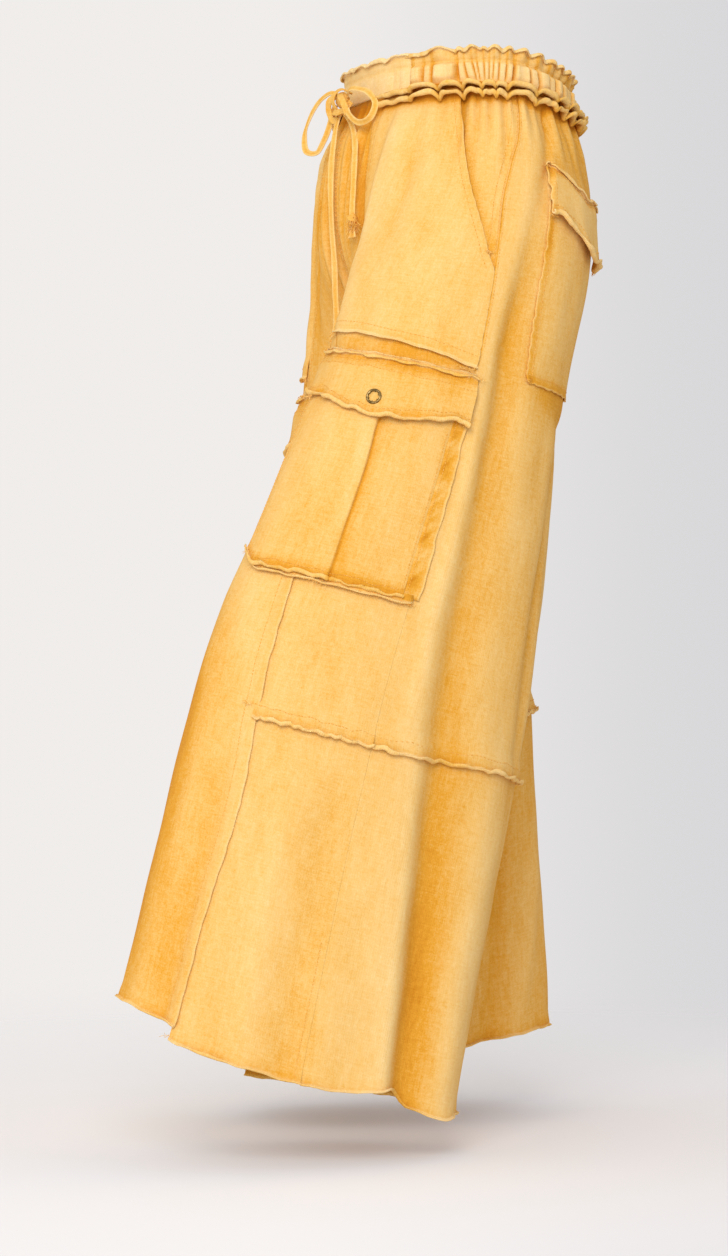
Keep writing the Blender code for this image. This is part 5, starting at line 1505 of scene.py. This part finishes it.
# stitches: small thread humps, copied along the rows and joined into one mesh for each leg
for legKey, rowsOfStitches in stitches.items():
    first, last, beside, middle = [np.concatenate([row[i] for row in rowsOfStitches])
                                   for i in range(4)]
    turned = np.concatenate([np.full(len(row[0]), -1.0 if row[4] in ("left", "right") else 1.0)
                             for row in rowsOfStitches])[:, None]
    towards = last - first
    towards /= np.maximum(np.linalg.norm(towards, axis=1, keepdims=True), 1e-9)
    out = np.cross(towards, beside - middle) * turned * (1 if legKey == "L" else -1)
    out /= np.maximum(np.linalg.norm(out, axis=1, keepdims=True), 1e-12)
    across = np.cross(out, towards)
    made = bmesh.new()
    bmesh.ops.create_uvsphere(made, u_segments=6, v_segments=4, radius=1.0)
    mesh = bpy.data.meshes.new("oneStitch")
    made.to_mesh(mesh)
    made.free()
    one = np.empty(len(mesh.vertices) * 3)
    mesh.vertices.foreach_get("co", one)
    one = one.reshape(1, -1, 3)
    copier = bpy.data.objects.new("oneStitch", mesh)
    bpy.context.scene.collection.objects.link(copier)
    copies = copier.modifiers.new("copies", "ARRAY")
    copies.count = len(middle)
    whole = bpy.data.meshes.new_from_object(copier.evaluated_get(bpy.context.evaluated_depsgraph_get()))
    bpy.data.objects.remove(copier)
    places = (middle[:, None] + 0.00012 * out[:, None]
              + towards[:, None] * one[..., 0:1] * stitchSize["long"]
              + across[:, None] * one[..., 1:2] * stitchSize["wide"]
              + out[:, None] * one[..., 2:3] * stitchSize["high"])
    whole.vertices.foreach_set("co", places.ravel())
    whole.name = f"topstitching_{legKey}"
    whole.shade_smooth()
    link(f"topstitching_{legKey}", whole, "terry", cottonThread)
print("stitches sewn")

# the floor fades into the backdrop, which is the world's own colour
made = bmesh.new()
bmesh.ops.create_circle(made, cap_ends=True, segments=64, radius=6.0,
                        matrix=Matrix.Translation((0, 0, studio["floorHeight"])))
mesh = bpy.data.meshes.new("floor")
made.to_mesh(mesh)
made.free()
floor = bpy.data.objects.new("floor", mesh)
bpy.context.scene.collection.objects.link(floor)
paperFloor, shader = newMaterial("matt paper floor")
shader.inputs["Base Color"].default_value = linear(studio["floorColour"])
shader.inputs["Roughness"].default_value = 0.9
shader.inputs["Specular IOR Level"].default_value = 0.1
floorPlace = addNode(paperFloor, "ShaderNodeTexCoord").outputs["Object"]
radius = addNode(paperFloor, "ShaderNodeVectorMath", {0: floorPlace}, operation="LENGTH")
fade = addNode(paperFloor, "ShaderNodeMapRange",
               {"Value": radius.outputs["Value"], "From Min": 0.7, "From Max": 1.9,
                "To Min": 1.0, "To Max": 0.0}, interpolation_type="SMOOTHSTEP")
paperFloor.node_tree.links.new(fade.outputs[0], shader.inputs["Alpha"])
floor.data.materials.append(paperFloor)

world = bpy.data.worlds.new("studio")
bpy.context.scene.world = world
world.use_nodes = True
direction = addNode(world, "ShaderNodeTexCoord").outputs["Generated"]
aside = addNode(world, "ShaderNodeVectorMath", {0: direction, 1: (0.342, 0.940, 0.0)},
                operation="DOT_PRODUCT")
share = addNode(world, "ShaderNodeMapRange",
                {"Value": aside.outputs["Value"], "From Min": -0.03, "From Max": 0.11},
                interpolation_type="SMOOTHSTEP")
sky = addNode(world, "ShaderNodeMix", {"Factor": share.outputs[0]}, data_type="RGBA")
sky.inputs[6].default_value = linear(studio["backdropLeft"])
sky.inputs[7].default_value = linear(studio["backdropRight"])
world.node_tree.links.new(sky.outputs[2], world.node_tree.nodes["Background"].inputs["Color"])
seen = addNode(world, "ShaderNodeLightPath").outputs["Is Camera Ray"]
ahead = addNode(world, "ShaderNodeVectorMath", {0: direction, 1: (0.30, -0.95, 0.0)},
                operation="DOT_PRODUCT")
lit = addNode(world, "ShaderNodeMapRange", {"Value": ahead.outputs["Value"],
                                            "To Min": studio["fill"], "To Max": studio["fillFront"]})
strength = addNode(world, "ShaderNodeMapRange", {"Value": seen, "To Min": lit.outputs[0], "To Max": 1.0})
world.node_tree.links.new(strength.outputs[0], world.node_tree.nodes["Background"].inputs["Strength"])

# one big soft box in front of the wearer's left, above the eye
key = bpy.data.objects.new("softBox", bpy.data.lights.new("softBox", "AREA"))
bpy.context.scene.collection.objects.link(key)
key.data.size = studio["keySize"]
key.data.energy = studio["keyPower"]
key.location = studio["keyPlace"]
aim = Vector((0, -0.1, -0.5)) - Vector(studio["keyPlace"])
key.rotation_euler = aim.to_track_quat("-Z", "Y").to_euler()
print("studio lit")
